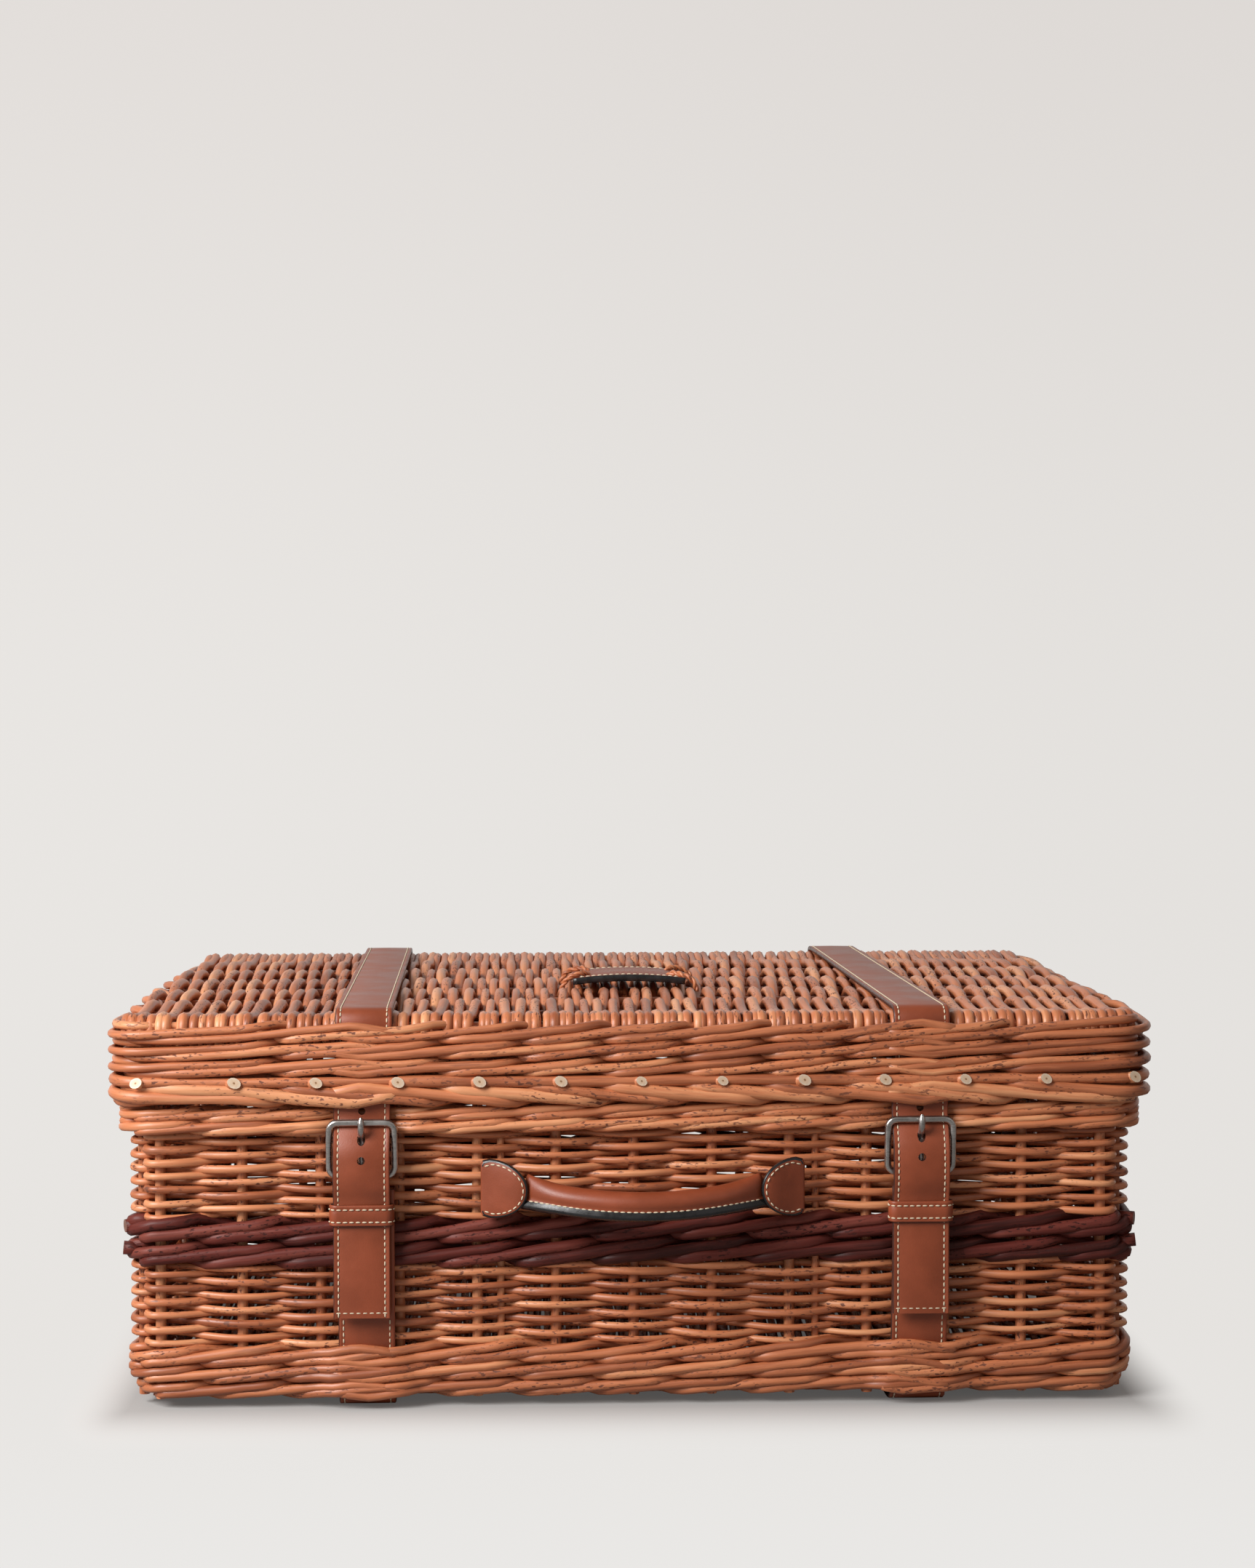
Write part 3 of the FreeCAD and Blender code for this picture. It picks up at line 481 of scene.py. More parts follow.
def geometry_tree(name, *inputs):
    return new_group(name, "GeometryNodeTree", [("Geometry", GEOMETRY, None), *inputs,
                                                ("Material", MATERIAL, None)],
                     [("Geometry", GEOMETRY)])


def finish_tree(tree, geometry, smooth, given, out):
    """Realise, shade unless that is done already, and paint, then leave the tree."""
    made = tree.use("GeometryNodeRealizeInstances", {"Geometry": geometry})["Geometry"]
    if smooth is not None:
        made = shaded(tree, made, smooth)
    coat = tree.use("GeometryNodeSetMaterial", {"Geometry": made, "Material": given["Material"]})
    tree.put(out["Geometry"], coat["Geometry"])
    return tree.tree


def make_rod_tree(name):
    """Turns centre lines with a girth into round rods with a grain that follows them."""
    tree, given, out, line = line_tree(name, ("Sides", "NodeSocketInt", 8))
    along = tree.add("GeometryNodeSplineParameter").outputs["Length"]
    kept = store(tree, line, "along", "FLOAT", "POINT", along)
    ring = tree.use("GeometryNodeCurvePrimitiveCircle", {"Radius": 1.0,
                                                         "Resolution": given["Sides"]})
    place = tree.add("GeometryNodeInputPosition").outputs[0]
    profile = store(tree, ring["Curve"], "round", "FLOAT_VECTOR", "POINT", place)
    girth = named(tree, "girth")
    tube = tree.use("GeometryNodeCurveToMesh", {"Curve": kept, "Profile Curve": profile,
                                                "Scale": girth, "Fill Caps": True})["Mesh"]
    around = tree.separated(named(tree, "round", "FLOAT_VECTOR"))
    shift = tree.math("MULTIPLY", named(tree, "tone"), 41.0)
    grain = tree.combined(tree.math("ADD", named(tree, "along"), shift),
                          tree.math("MULTIPLY", around[0], girth),
                          tree.math("MULTIPLY", around[1], girth))
    marked = store(tree, tube, "grain", "FLOAT_VECTOR", "POINT", grain)
    corners = tree.add("GeometryNodeInputMeshFaceNeighbors").outputs["Vertex Count"]
    capped = tree.use("FunctionNodeCompare", {2: corners, 3: 4}, data_type="INT",
                      operation="GREATER_THAN")[0]
    marked = store(tree, marked, "cut", "FLOAT", "FACE", capped)
    side = tree.use("FunctionNodeBooleanMath", {0: capped}, operation="NOT")[0]
    return finish_tree(tree, marked, side, given, out)


def make_stitch_tree(name):
    """Lays short rounded stitches along lines."""
    tree, given, out, line = line_tree(name, ("Pitch", NUMBER, 0.0034),
                                       ("Length", NUMBER, 0.0026), ("Thread", NUMBER, 0.00042))
    spaced = tree.use("GeometryNodeResampleCurve", {"Curve": line, "Length": given["Pitch"]},
                      mode="LENGTH")["Curve"]
    ball = tree.use("GeometryNodeMeshUVSphere", {"Segments": 8, "Rings": 5, "Radius": 1.0})
    size = tree.combined(given["Thread"], given["Thread"],
                         tree.math("MULTIPLY", given["Length"], 0.5))
    tangent = tree.add("GeometryNodeInputTangent").outputs[0]
    laid = instanced(tree, spaced, ball["Mesh"], tangent, size)
    return finish_tree(tree, laid, True, given, out)


def make_cut_tree(name):
    """Sets a short cut rod on each point, facing the way that the point says."""
    tree, given, out = geometry_tree(name, ("Radius", NUMBER, 0.003), ("Length", NUMBER, 0.012),
                                     ("Seed", "NodeSocketInt", 3))
    stub = tree.use("GeometryNodeMeshCylinder", {
        "Vertices": 14, "Radius": given["Radius"], "Depth": given["Length"]}, fill_type="NGON")
    x, y, z = tree.separated(tree.add("GeometryNodeInputPosition").outputs[0])
    marked = store(tree, stub["Mesh"], "grain", "FLOAT_VECTOR", "POINT", tree.combined(z, x, y))
    marked = store(tree, marked, "cut", "FLOAT", "FACE", stub["Top"])
    chance = tree.use("FunctionNodeRandomValue", {2: 0.85, 3: 1.08, "Seed": given["Seed"]},
                      data_type="FLOAT")[1]
    size = tree.stretch(named(tree, "stretch", "FLOAT_VECTOR"), chance)
    laid = instanced(tree, given["Geometry"], shaded(tree, marked, stub["Side"]),
                     named(tree, "facing", "FLOAT_VECTOR"), size)
    return finish_tree(tree, laid, None, given, out)


def bake_modifiers(obj):
    """Replace an object's mesh by what its modifiers make of it."""
    bpy.context.view_layer.update()
    evaluated = obj.evaluated_get(bpy.context.evaluated_depsgraph_get())
    mesh = bpy.data.meshes.new_from_object(evaluated)
    obj.modifiers.clear()
    obj.data = mesh
    mesh.name = obj.name


def through_tree(obj, group, **values):
    """Run an object's mesh through a geometry node tree and keep the plain result."""
    modifier = obj.modifiers.new("nodes", "NODES")
    modifier.node_group = group
    for item in group.interface.items_tree:
        if item.item_type == "SOCKET" and item.in_out == "INPUT" and item.name in values:
            modifier[item.identifier] = values[item.name]
    bake_modifiers(obj)


def lines_object(name, chains, numbers=None):
    """An object of loose edges along chains of points, with numbers kept on the points."""
    points = np.vstack(chains)
    edges = []
    start = 0
    for chain in chains:
        count = len(chain)
        edges += [(start + i, start + i + 1) for i in range(count - 1)]
        start += count
    mesh = bpy.data.meshes.new(name)
    mesh.from_pydata(points.tolist(), edges, [])
    for key, values in (numbers or {}).items():
        attribute = mesh.attributes.new(key, "FLOAT", "POINT")
        attribute.data.foreach_set("value", np.concatenate(values).astype(np.float32))
    return linked(name, mesh)


def settle(obj, body, slot, *nodes):
    """Let a finished piece ride on its body and stand for its CAD nodes."""
    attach(obj, body)
    if nodes:
        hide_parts(*nodes)
    return obj


def stitch(name, chains, body, slot, blend=None):
    """Stitches along chains of points."""
    leather = bpy.context.scene.hamper_leather
    obj = lines_object(name, [np.array(chain, float) for chain in chains])
    through_tree(obj, group_named("Stitches", make_stitch_tree), Pitch=leather.pitch,
                 Length=leather.stitch, Material=material("Waxed thread"))
    if blend:
        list(blend)
        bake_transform(obj)
    else:
        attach(obj, body)
    return obj


# ------------------------------------------------------------ weaving


class Loop:
    """A rounded rectangle seen from above, walked from the front's middle to the right."""

    def __init__(self, half_w, half_d, radius):
        along = half_w - radius
        across = half_d - radius
        corners = ((along, -across, -90), (along, across, 0), (-along, across, 90),
                   (-along, -across, 180))
        points = [(0.0, -half_d)]
        normals = [(0.0, -1.0)]
        for x, y, start in corners:
            for step in range(13):
                angle = math.radians(start + 90 * step / 12)
                normals.append((math.cos(angle), math.sin(angle)))
                points.append((x + radius * math.cos(angle), y + radius * math.sin(angle)))
        points.append(points[0])
        normals.append(normals[0])
        self.points = np.array(points)
        self.normals = np.array(normals)
        gaps = np.linalg.norm(np.diff(self.points, axis=0), axis=1)
        self.marks = np.concatenate([[0], np.cumsum(gaps)])
        self.length = self.marks[-1]
        self.corner_marks = [(self.marks[1 + 13 * i], self.marks[13 + 13 * i]) for i in range(4)]

    def at(self, way, out):
        """(x, y) a distance along the loop and a distance out of it."""
        around = np.mod(way, self.length)
        x, y, nx, ny = [np.interp(around, self.marks, column)
                        for column in (*self.points.T, *self.normals.T)]
        return x + nx * out, y + ny * out

    def find(self, place):
        """How far along the loop a place lies."""
        ways = np.linspace(0, self.length, 7301)
        x, y = self.at(ways, 0)
        return ways[np.argmin((x - place[0]) ** 2 + (y - place[1]) ** 2)]

    def samples(self, start, end, step=0.0055):
        """Distances from start to end, closer together round the corners."""
        marks = list(np.arange(0, self.length, step))
        for low, high in self.corner_marks:
            marks = [m for m in marks if not low - step / 2 < m < high + step / 2]
            marks += list(np.linspace(low, high, 9))
        base = np.sort(np.array(marks))
        ways = np.concatenate([base + turn * self.length for turn in (-1, 0, 1, 2)])
        inner = ways[(ways > start + 0.001) & (ways < end - 0.001)]
        return np.concatenate([[start], inner, [end]])


class Weave:
    """Collects the centre lines of rods that go round the hamper, and makes them round."""

    def __init__(self, loop, stakes, seed, shade=0.5):
        self.loop = loop
        self.rng = np.random.default_rng(seed)
        self.stations = np.sort([loop.find(place) for place in stakes])
        # rods pass each stake level for this much on both of its sides
        level_part = 0.0015
        count = len(self.stations)
        self.knots = np.array([(way + side + turn * loop.length, number + turn * count)
                               for turn in (-1, 0, 1, 2)
                               for number, way in enumerate(self.stations)
                               for side in (-level_part, level_part)])
        self.shade = shade
        self.chains = []
        self.girths = []
        self.tones = []

    def phase(self, ways):
        """How many stakes have been passed."""
        return np.interp(ways, self.knots[:, 0], self.knots[:, 1])

    def wander(self, amount, slow=2, fast=14):
        """A smooth random wave round the loop."""
        waves = [(self.rng.normal(), self.rng.integers(slow, fast), self.rng.uniform(0, 6.3))
                 for _ in range(7)]
        scale = amount / math.sqrt(7)

        def height(ways):
            turn = ways * (2 * math.pi / self.loop.length)
            return scale * sum(a * np.sin(k * turn + p) for a, k, p in waves)
        return height

    def tone(self):
        return float(np.clip(self.rng.normal(self.shade, 0.30), 0.0, 1.0))

    def add(self, points, girth, tone):
        self.chains.append(points)
        self.girths.append(np.broadcast_to(girth, len(points)).astype(float))
        self.tones.append(np.full(len(points), tone))

    def rod(self, start, end, butt, tip, out, height, tone=None):
        """One rod from start to end; out and height give its place for each distance."""
        ways = self.loop.samples(start, end)
        x, y = self.loop.at(ways, out(ways))
        girth = np.linspace(butt, tip, len(ways))
        girth = girth * (1 + 0.05 * np.sin(ways * self.rng.uniform(60, 140)))
        points = np.stack([x, y, height(ways)], axis=1)
        self.add(points, girth, self.tone() if tone is None else tone)

    def pieces(self, good, longest):
        """Split a round into rods that start and end at good stakes, from the back round."""
        count = len(self.stations)
        home = int(np.argmin(np.abs(self.stations - 0.55 * self.loop.length)))
        places = [i for i in range(home + 2, home + count - 2) if good(i)]
        marks = places[int(self.rng.integers(0, longest))::longest]
        ways = [self.stations[i % count] + (i // count) * self.loop.length
                for i in [home] + marks]
        return list(zip(ways, ways[1:] + [ways[0] + self.loop.length]))

    def randing(self, low, high, rows, girth, swing, line, push=None):
        """Rods that pass in front of one stake and behind the next, row over row."""
        pitch = (high - low) / rows
        sag = self.wander(0.0009, 2, 9)
        for row in range(rows):
            own = self.wander(0.00035, 9, 30)
            middle = low + pitch * (row + 0.5)
            parity = row % 2

            def out(ways):
                wave = line + swing * np.cos(math.pi * (self.phase(ways) + parity))
                return wave if push is None else push(ways, wave)

            def height(ways):
                return middle + sag(ways) + own(ways)
            for start, end in self.pieces(lambda i: (i + parity) % 2 == 1, 6):
                butt = girth * self.rng.uniform(0.95, 1.12)
                tip = girth * self.rng.uniform(0.74, 0.95)
                if self.rng.random() < 0.5:
                    butt, tip = tip, butt
                self.rod(start, end, butt, tip, out, height)

    def waling(self, low, high, rounds, girth, swing, line, slope=1, push=None):
        """Three rods a round, each in front of two stakes and behind the third."""
        pitch = (high - low) / rounds
        rise = slope * pitch / 2
        sag = self.wander(0.0008, 2, 8)
        for number in range(rounds):
            middle = low + pitch * (number + 0.5)
            for strand in range(3):
                own = self.wander(0.0004, 8, 26)

                def out(ways, strand=strand):
                    # behind a stake where the phase is a whole three, else in front
                    p = np.mod(self.phase(ways) + strand, 3.0)
                    near = np.minimum(p, 3.0 - p)
                    share = ease(np.clip((near - 0.20) / 0.60, 0, 1))
                    wave = line + swing * (2 * share - 1)
                    return wave if push is None else push(ways, wave)

                def height(ways, strand=strand):
                    # climbs over two stakes and dives back down behind the third
                    p = np.mod(self.phase(ways) + strand, 3.0)
                    dive = 0.55
                    z = np.where(p < dive, -0.95 * p / dive,
                                 np.where(p > 3.0 - dive, 0.95 * (3.0 - p) / dive, p - 1.5))
                    z = 0.9 * z + 0.1 * np.sin(p * 2.1 + number)
                    return middle + rise * z + sag(ways) + own(ways)
                for start, end in self.pieces(lambda i: (i + strand) % 3 == 0, 4):
                    butt = girth * self.rng.uniform(0.98, 1.12)
                    tip = girth * self.rng.uniform(0.78, 0.95)
                    self.rod(start, end, butt, tip, out, height)

    def build(self, name, sides, finish, body, slot, *nodes):
        """Make the collected rods into one piece."""
        obj = lines_object(name, self.chains, {"girth": self.girths, "tone": self.tones})
        through_tree(obj, group_named("Round rods", make_rod_tree), Sides=sides,
                     Material=material(finish))
        return settle(obj, body, slot, *nodes)


def near_belts(x, half, soft):
    """1 across each belt, falling to 0 beside it."""
    gap = np.minimum(np.abs(x - middle_x("belt_lid_left")), np.abs(x - middle_x("belt_lid_right")))
    return ease(np.clip((half + soft - gap) / soft, 0, 1))


def belt_push(loop, limit, outside=True):
    """Keeps rods at least, or at most, a distance out where the belts cross front and back."""
    def push(ways, wave):
        x, y = loop.at(ways, 0)
        flat = np.abs(np.abs(y) - np.abs(loop.points[:, 1]).max()) < 0.002
        share = near_belts(x, BELT_HALF, 0.009) * flat
        held = np.maximum(wave, limit) if outside else np.minimum(wave, limit)
        return wave + (held - wave) * share
    return push


def basket_loop():
    return Loop(HALF_W + STAKE_LINE, HALF_D + STAKE_LINE, CORNER)


def basket_stakes():
    return upright_places("stakes_front", "stakes_back", "stakes_left", "stakes_right",
                          "corner_posts")


def basket_weave(seed, shade=0.5):
    seed += bpy.context.scene.hamper_willow.seed
    return Weave(basket_loop(), basket_stakes(), seed, shade)


class HAMPER_OT_siding(bpy.types.Operator):
    """Weave the lower and the upper siding, one stake out and one stake in"""
    bl_idname = "hamper.siding"
    bl_label = "Siding"

    def execute(self, context):
        girth = context.scene.hamper_willow.girth
        for seed, (node, rows) in enumerate((("lower_siding", 12), ("upper_siding", 13))):
            weave = basket_weave(11 + seed)
            low, high = level(node)
            if node == "upper_siding":
                low -= 0.0012
            else:
                high += 0.0008
            weave.randing(low, high, rows, girth, swing=0.0051, line=0.0)
            weave.build("woven_" + node, 9, "Buff willow", "basket", "willow_buff", node)
        return {"FINISHED"}


class HAMPER_OT_waling(bpy.types.Operator):
    """Weave the foot, the dark band and the basket's top border from three rods a round"""
    bl_idname = "hamper.waling"
    bl_label = "Foot, band and border"

    def execute(self, context):
        # painted shade: the foot's rods get a darker mean tone (0.12, against 0.5 elsewhere) for
        # the shade that they lie in by the floor
        weave = basket_weave(21, 0.12)
        low, high = level("foot_wale")
        weave.waling(low + 0.0012, high, rounds=3, girth=0.0027, swing=0.0047, line=0.0012,
                     push=belt_push(weave.loop, 0.0089))
        for points in weave.chains:
            share = ease(np.clip((0.020 - points[:, 2]) / 0.018, 0, 1))
            points[:, 0] *= 1 - 0.034 * share
            points[:, 1] *= 1 - 0.022 * share * (1 - near_belts(points[:, 0], 0.018, 0.012))
        weave.build("woven_foot", 9, "Buff willow", "basket", "willow_buff", "foot_wale")
        weave = basket_weave(22)
        low, high = level("dark_band")
        weave.waling(low, high, rounds=2, girth=0.0033, swing=0.0057, line=0.0004)
        weave.build("woven_band", 10, "Dark willow", "basket", "willow_dark", "dark_band")
        weave = basket_weave(23)
        low, high = level("top_border")
        weave.waling(low, high - 0.0002, rounds=2, girth=0.00235, swing=0.0051, line=0.0055,
                     push=belt_push(weave.loop, BILLET_OUT, outside=False))
        weave.build("woven_border", 9, "Buff willow", "basket", "willow_buff", "top_border")
        return {"FINISHED"}


def lid_loop():
    return Loop(HALF_W + LID_OVER, HALF_D + LID_OVER, LID_CORNER)


class HAMPER_OT_rim(bpy.types.Operator):
    """Weave the lid's rim: its waling, the heavier border and the rod between them"""
    bl_idname = "hamper.rim"
    bl_label = "Lid rim"

    def execute(self, context):
        loop = lid_loop()
        stakes = upright_places("lid_stakes")
        seed = context.scene.hamper_willow.seed
        low, high = level("lid_wale")
        weave = Weave(loop, stakes, seed + 31)
        hide = belt_push(loop, BILLET_OUT)
        weave.waling(low - 0.0008, high - 0.0003, rounds=3, girth=0.0025, swing=0.0058,
                     line=0.0008, push=hide)
        weave.build("woven_lid_wale", 9, "Buff willow", "lid", "willow_buff", "lid_wale")
        low, high = level("lid_border")
        weave = Weave(loop, stakes, seed + 32)
        weave.waling(low + 0.0002, high - 0.0050, rounds=1, girth=0.0034, swing=0.0050,
                     line=0.0006, slope=-1, push=hide)
        rod_high = high - 0.0034
        sway = weave.wander(0.0006, 3, 12)
        for start, end in weave.pieces(lambda i: True, 11):
            weave.rod(start, end, 0.0033, 0.0027, out=lambda ways: 0.0054 + 0 * ways,
                      height=lambda ways: rod_high + sway(ways), tone=0.22)
            weave.rod(start, end, 0.0027, 0.0031, out=lambda ways: -0.0046 + 0 * ways,
                      height=lambda ways: rod_high + 0.0018 + sway(ways), tone=0.3)
        weave.build("woven_lid_border", 10, "Buff willow", "lid", "willow_buff", "lid_border")
        return {"FINISHED"}


def straight(weave, start, end, girth, tone=None, bend=0.0):
    """A straight rod with a slight bend."""
    share = np.linspace(0, 1, 9)[:, None]
    points = np.array(start) * (1 - share) + np.array(end) * share
    lean = weave.rng.normal(0, bend, 3)
    points = points + np.sin(share * math.pi) * lean
    weave.add(points, girth, weave.tone() if tone is None else tone)


class HAMPER_OT_uprights(bpy.types.Operator):
    """Set the stakes, corner posts and liners that the rods are woven round"""
    bl_idname = "hamper.uprights"
    bl_label = "Stakes and posts"

    def execute(self, context):
        for node in ("stakes_front", "stakes_back", "stakes_left", "stakes_right",
                     "corner_posts", "liner_stakes", "lid_stakes"):
            weave = basket_weave(41)
            low, high = level(node)
            girth = 0.0020 if node == "liner_stakes" else 0.0029
            body = "lid" if node == "lid_stakes" else "basket"
            for x, y in upright_places(node):
                straight(weave, (x, y, low), (x, y, high), girth, bend=0.0003)
            weave.build("willow_" + node, 10, "Buff willow", body, "willow_stake", node)
        return {"FINISHED"}


class HAMPER_OT_cut_ends(bpy.types.Operator):
    """Set the row of cut rod ends round the lid's rim and the odd ends at the corners"""
    bl_idname = "hamper.cut_ends"
    bl_label = "Cut rod ends"

    def execute(self, context):
        low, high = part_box("lid_rod_ends")
        z = (low.z + high.z) / 2
        spots = []
        for x, y in upright_places("lid_rod_ends"):
            if abs(x) / HALF_W > abs(y) / HALF_D:
                out = Vector((math.copysign(1, x), 0, 0))
                along = Vector((0, out.x, 0))
            else:
                out = Vector((0, math.copysign(1, y), 0))
                along = Vector((-out.y, 0, 0))
            facing = out + along * 0.42 + Vector((0, 0, 0.30))
            tip = Vector((x, y, z)) + out * 0.0020
            spots.append((tip - facing.normalized() * 0.0062, facing))
        for x, y, side in ((-0.2625, -0.1950, -0.35), (0.2680, -0.1925, 0.5)):
            facing = Vector((side, -1, 0.25))
            spots.append((Vector((x, y, z)) - facing.normalized() * 0.0055, facing))
        cut_rods("lid_cut_ends", spots, (0.0027, 0.0125, 1.32), "Buff willow", "lid",
                 "willow_end", "lid_rod_ends")
        spots = []
        low, high = level("dark_band")
        for way in (-1, 1):
            for share in (0.35, 0.8):
                facing = Vector((way, -0.5 * share, 0.22 - 0.3 * share))
                place = Vector((way * (HALF_W - 0.0022), -HALF_D + 0.006 + 0.008 * share,
                                low + (high - low) * share))
                spots.append((place, facing))
        cut_rods("band_cut_ends", spots, (0.0034, 0.009, 1.1), "Dark willow", "basket",
                 "willow_dark")
        return {"FINISHED"}


def cut_rods(name, spots, shape, finish, body, slot, *nodes):
    """Short cut rods at (place, facing) spots; shape is (radius, length, ovalness)."""
    radius, length, oval = shape
    mesh = bpy.data.meshes.new(name)
    mesh.from_pydata([tuple(place) for place, _ in spots], [], [])
    facings = [tuple(way.normalized()) for _, way in spots]
    ovals = [(1.0, oval, 1.0) if abs(way.x) > abs(way.y) else (oval, 1.0, 1.0)
             for _, way in spots]
    for key, rows in (("facing", facings), ("stretch", ovals)):
        attribute = mesh.attributes.new(key, "FLOAT_VECTOR", "POINT")
        attribute.data.foreach_set("vector", np.array(rows).ravel())
    tones = mesh.attributes.new("tone", "FLOAT", "POINT")
    tones.data.foreach_set("value", np.linspace(0.3, 0.7, len(spots)))
    obj = linked(name, mesh)
    through_tree(obj, group_named("Cut rods", make_cut_tree), Radius=radius, Length=length,
                 Material=material(finish))
    return settle(obj, body, slot, *nodes)


# ------------------------------------------------------------ panels


STICKS = 7


def panel_rods(weave, half_w, half_d, z_mid, stick, girth, corner, pitch, drop=0.0, lift=None):
    """Rods from front to back, over one stick and under the next, turned down at both ends."""
    reach = half_d - 2 * girth - stick
    gap = 2 * reach / (STICKS - 1)
    swing = stick + girth
    x = -half_w + girth
    column = 0
    while x < half_w - girth:
        own = girth * weave.rng.uniform(0.84, 1.15)
        excess = max(abs(x) - (half_w - corner), 0.0)
        ends = reach - corner + math.sqrt(max(corner * corner - excess * excess, 0.0))
        parity = column % 2
        heights = [1.0 if (k + parity) % 2 == 0 else -1.0 for k in range(STICKS)]
        heights[0] = heights[-1] = 1.0
        leans = weave.rng.normal(0, 0.0009, STICKS)
        ys = np.linspace(-ends, ends, 10 * (STICKS - 1) + 1)
        k = np.clip((ys + reach) / gap, 0, STICKS - 1 - 1e-6)
        first = np.floor(k).astype(int)
        part = k - first
        ease = (1 - np.tanh(1.5 * np.cos(math.pi * part)) / math.tanh(1.5)) / 2
        high = np.array(heights)
        z = high[first] * (1 - ease) + high[first + 1] * ease
        both = (high[first] > 0) & (high[first + 1] > 0)
        z = z - 0.45 * np.sin(math.pi * part) * both
        xs = x + np.interp(k, np.arange(STICKS), leans)
        span = np.stack([xs, ys, z_mid + swing * z], axis=1)
        turn = np.radians(np.linspace(180, 100, 5))
        front = np.stack([np.full(5, xs[0]), -ends + swing * np.cos(turn),
                          z_mid + swing * np.sin(turn)], axis=1)
        foot = np.array([[xs[0], -ends - swing, z_mid - drop]])
        back = front[::-1] * (1, -1, 1)
        back[:, 0] = xs[-1]
        tail = foot * (1, -1, 1)
        points = np.vstack([foot, front, span, back, tail])
        if lift is not None:
            points = lift(points, own)
        weave.add(points, own, weave.tone())
        x += own * pitch
        column += 1


def panel_sticks(weave, half_w, half_d, z_mid, stick, girth):
    reach = half_d - 2 * girth - stick
    for y in np.linspace(-reach, reach, STICKS):
        straight(weave, (-half_w, y, z_mid), (half_w, y, z_mid), stick, tone=0.45, bend=0.0003)


class HAMPER_OT_panels(bpy.types.Operator):
    """Weave the lid's top and the base from front to back over their sticks"""
    bl_idname = "hamper.panels"
    bl_label = "Lid top and base"

    def execute(self, context):
        seed = context.scene.hamper_willow.seed
        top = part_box("lid_panel")[1].z
        half_w = HALF_W + 0.0030
        half_d = HALF_D + 0.0030
        girth = 0.0029
        stick = 0.0023
        z_mid = top - 2 * girth - stick - 0.0003
        weave = Weave(lid_loop(), [(0, 0)], seed + 51)
        panel_rods(weave, half_w, half_d, z_mid, stick, girth, corner=LID_CORNER, pitch=1.54,
                   drop=0.0085)
        weave.build("woven_lid_top", 8, "Buff willow", "lid", "willow_buff", "lid_panel")
        weave = Weave(lid_loop(), [(0, 0)], seed + 52)
        panel_sticks(weave, half_w - 0.004, half_d, z_mid, stick, girth)
        weave.build("willow_lid_sticks", 8, "Buff willow", "lid", "willow_stake", "lid_sticks")
        low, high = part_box("base_panel")
        half_w = high.x + 0.0060
        half_d = high.y + 0.0040
        girth = 0.0020
        stick = 0.0010
        z_mid = (low.z + high.z) / 2
        clear = BELT_T + 0.0004

        def over_belts(points, own):
            share = near_belts(points[:, 0], BELT_HALF, 0.003)
            lowest = np.maximum(share * clear, 0.0) + own + 0.0001
            points[:, 2] = np.maximum(points[:, 2], lowest)
            return points
        weave = Weave(lid_loop(), [(0, 0)], seed + 53)
        panel_rods(weave, half_w, half_d, z_mid, stick, girth, corner=0.005, pitch=1.86,
                   lift=over_belts)
        weave.build("woven_base", 6, "Buff willow", "basket", "willow_buff", "base_panel")
        weave = Weave(lid_loop(), [(0, 0)], seed + 54)
        panel_sticks(weave, half_w - 0.002, half_d, z_mid, stick, girth)
        weave.build("willow_base_sticks", 8, "Buff willow", "basket", "willow_stake",
                    "base_sticks")
        return {"FINISHED"}


# ------------------------------------------------------------ leather


def smooth_line(points, rounds=3):
    """Round a line's corners by cutting them again and again; its ends stay."""
    line = np.array(points, float)
    for _ in range(rounds):
        low = line[:-1] * 0.75 + line[1:] * 0.25
        high = line[:-1] * 0.25 + line[1:] * 0.75
        inner = np.stack([low, high], axis=1).reshape(-1, 3)
        line = np.vstack([line[:1], inner, line[-1:]])
    return line


def even_line(line, step):
    """The same line with evenly spaced points."""
    gaps = np.linalg.norm(np.diff(line, axis=0), axis=1)
    marks = np.concatenate([[0], np.cumsum(gaps)])
    count = max(2, int(round(marks[-1] / step)) + 1)
    ways = np.linspace(0, marks[-1], count)
    return np.stack([np.interp(ways, marks, line[:, i]) for i in range(3)], axis=1)


def line_frames(line, across):
    """Unit vectors across the line and out of it, at each of its points."""
    tangent = np.gradient(line, axis=0)
    tangent /= np.linalg.norm(tangent, axis=1)[:, None]
    side = np.array(across, float) - tangent * (tangent @ np.array(across, float))[:, None]
    side /= np.linalg.norm(side, axis=1)[:, None]
    return side, np.cross(tangent, side)


def swept(name, line, across, outline, closed=False):
    """Sweep a closed outline of (u, v) points along a line; u is across and v is out."""
    ring = np.vstack([line[-1:], line, line[:1]]) if closed else line
    side, out = line_frames(ring, across)
    if closed:
        side, out = side[1:-1], out[1:-1]
    outline = np.asarray(outline, float)
    if outline.ndim == 2:
        outline = np.broadcast_to(outline, (len(line),) + outline.shape)
    points = (line[:, None, :] + side[:, None, :] * outline[..., 0:1]
              + out[:, None, :] * outline[..., 1:2])
    rows, count = points.shape[:2]
    faces = []
    kinds = []
    for i in range(rows if closed else rows - 1):
        j = (i + 1) % rows
        for k in range(count):
            m = (k + 1) % count
            faces.append((i * count + k, j * count + k, j * count + m, i * count + m))
            kinds.append(k)
    if not closed:
        faces.append(tuple(range(count)))
        faces.append(tuple(range((rows - 1) * count, rows * count))[::-1])
        kinds += [-1, -1]
    obj = solid_object(name, points.reshape(-1, 3), faces)
    return obj, kinds, side, out


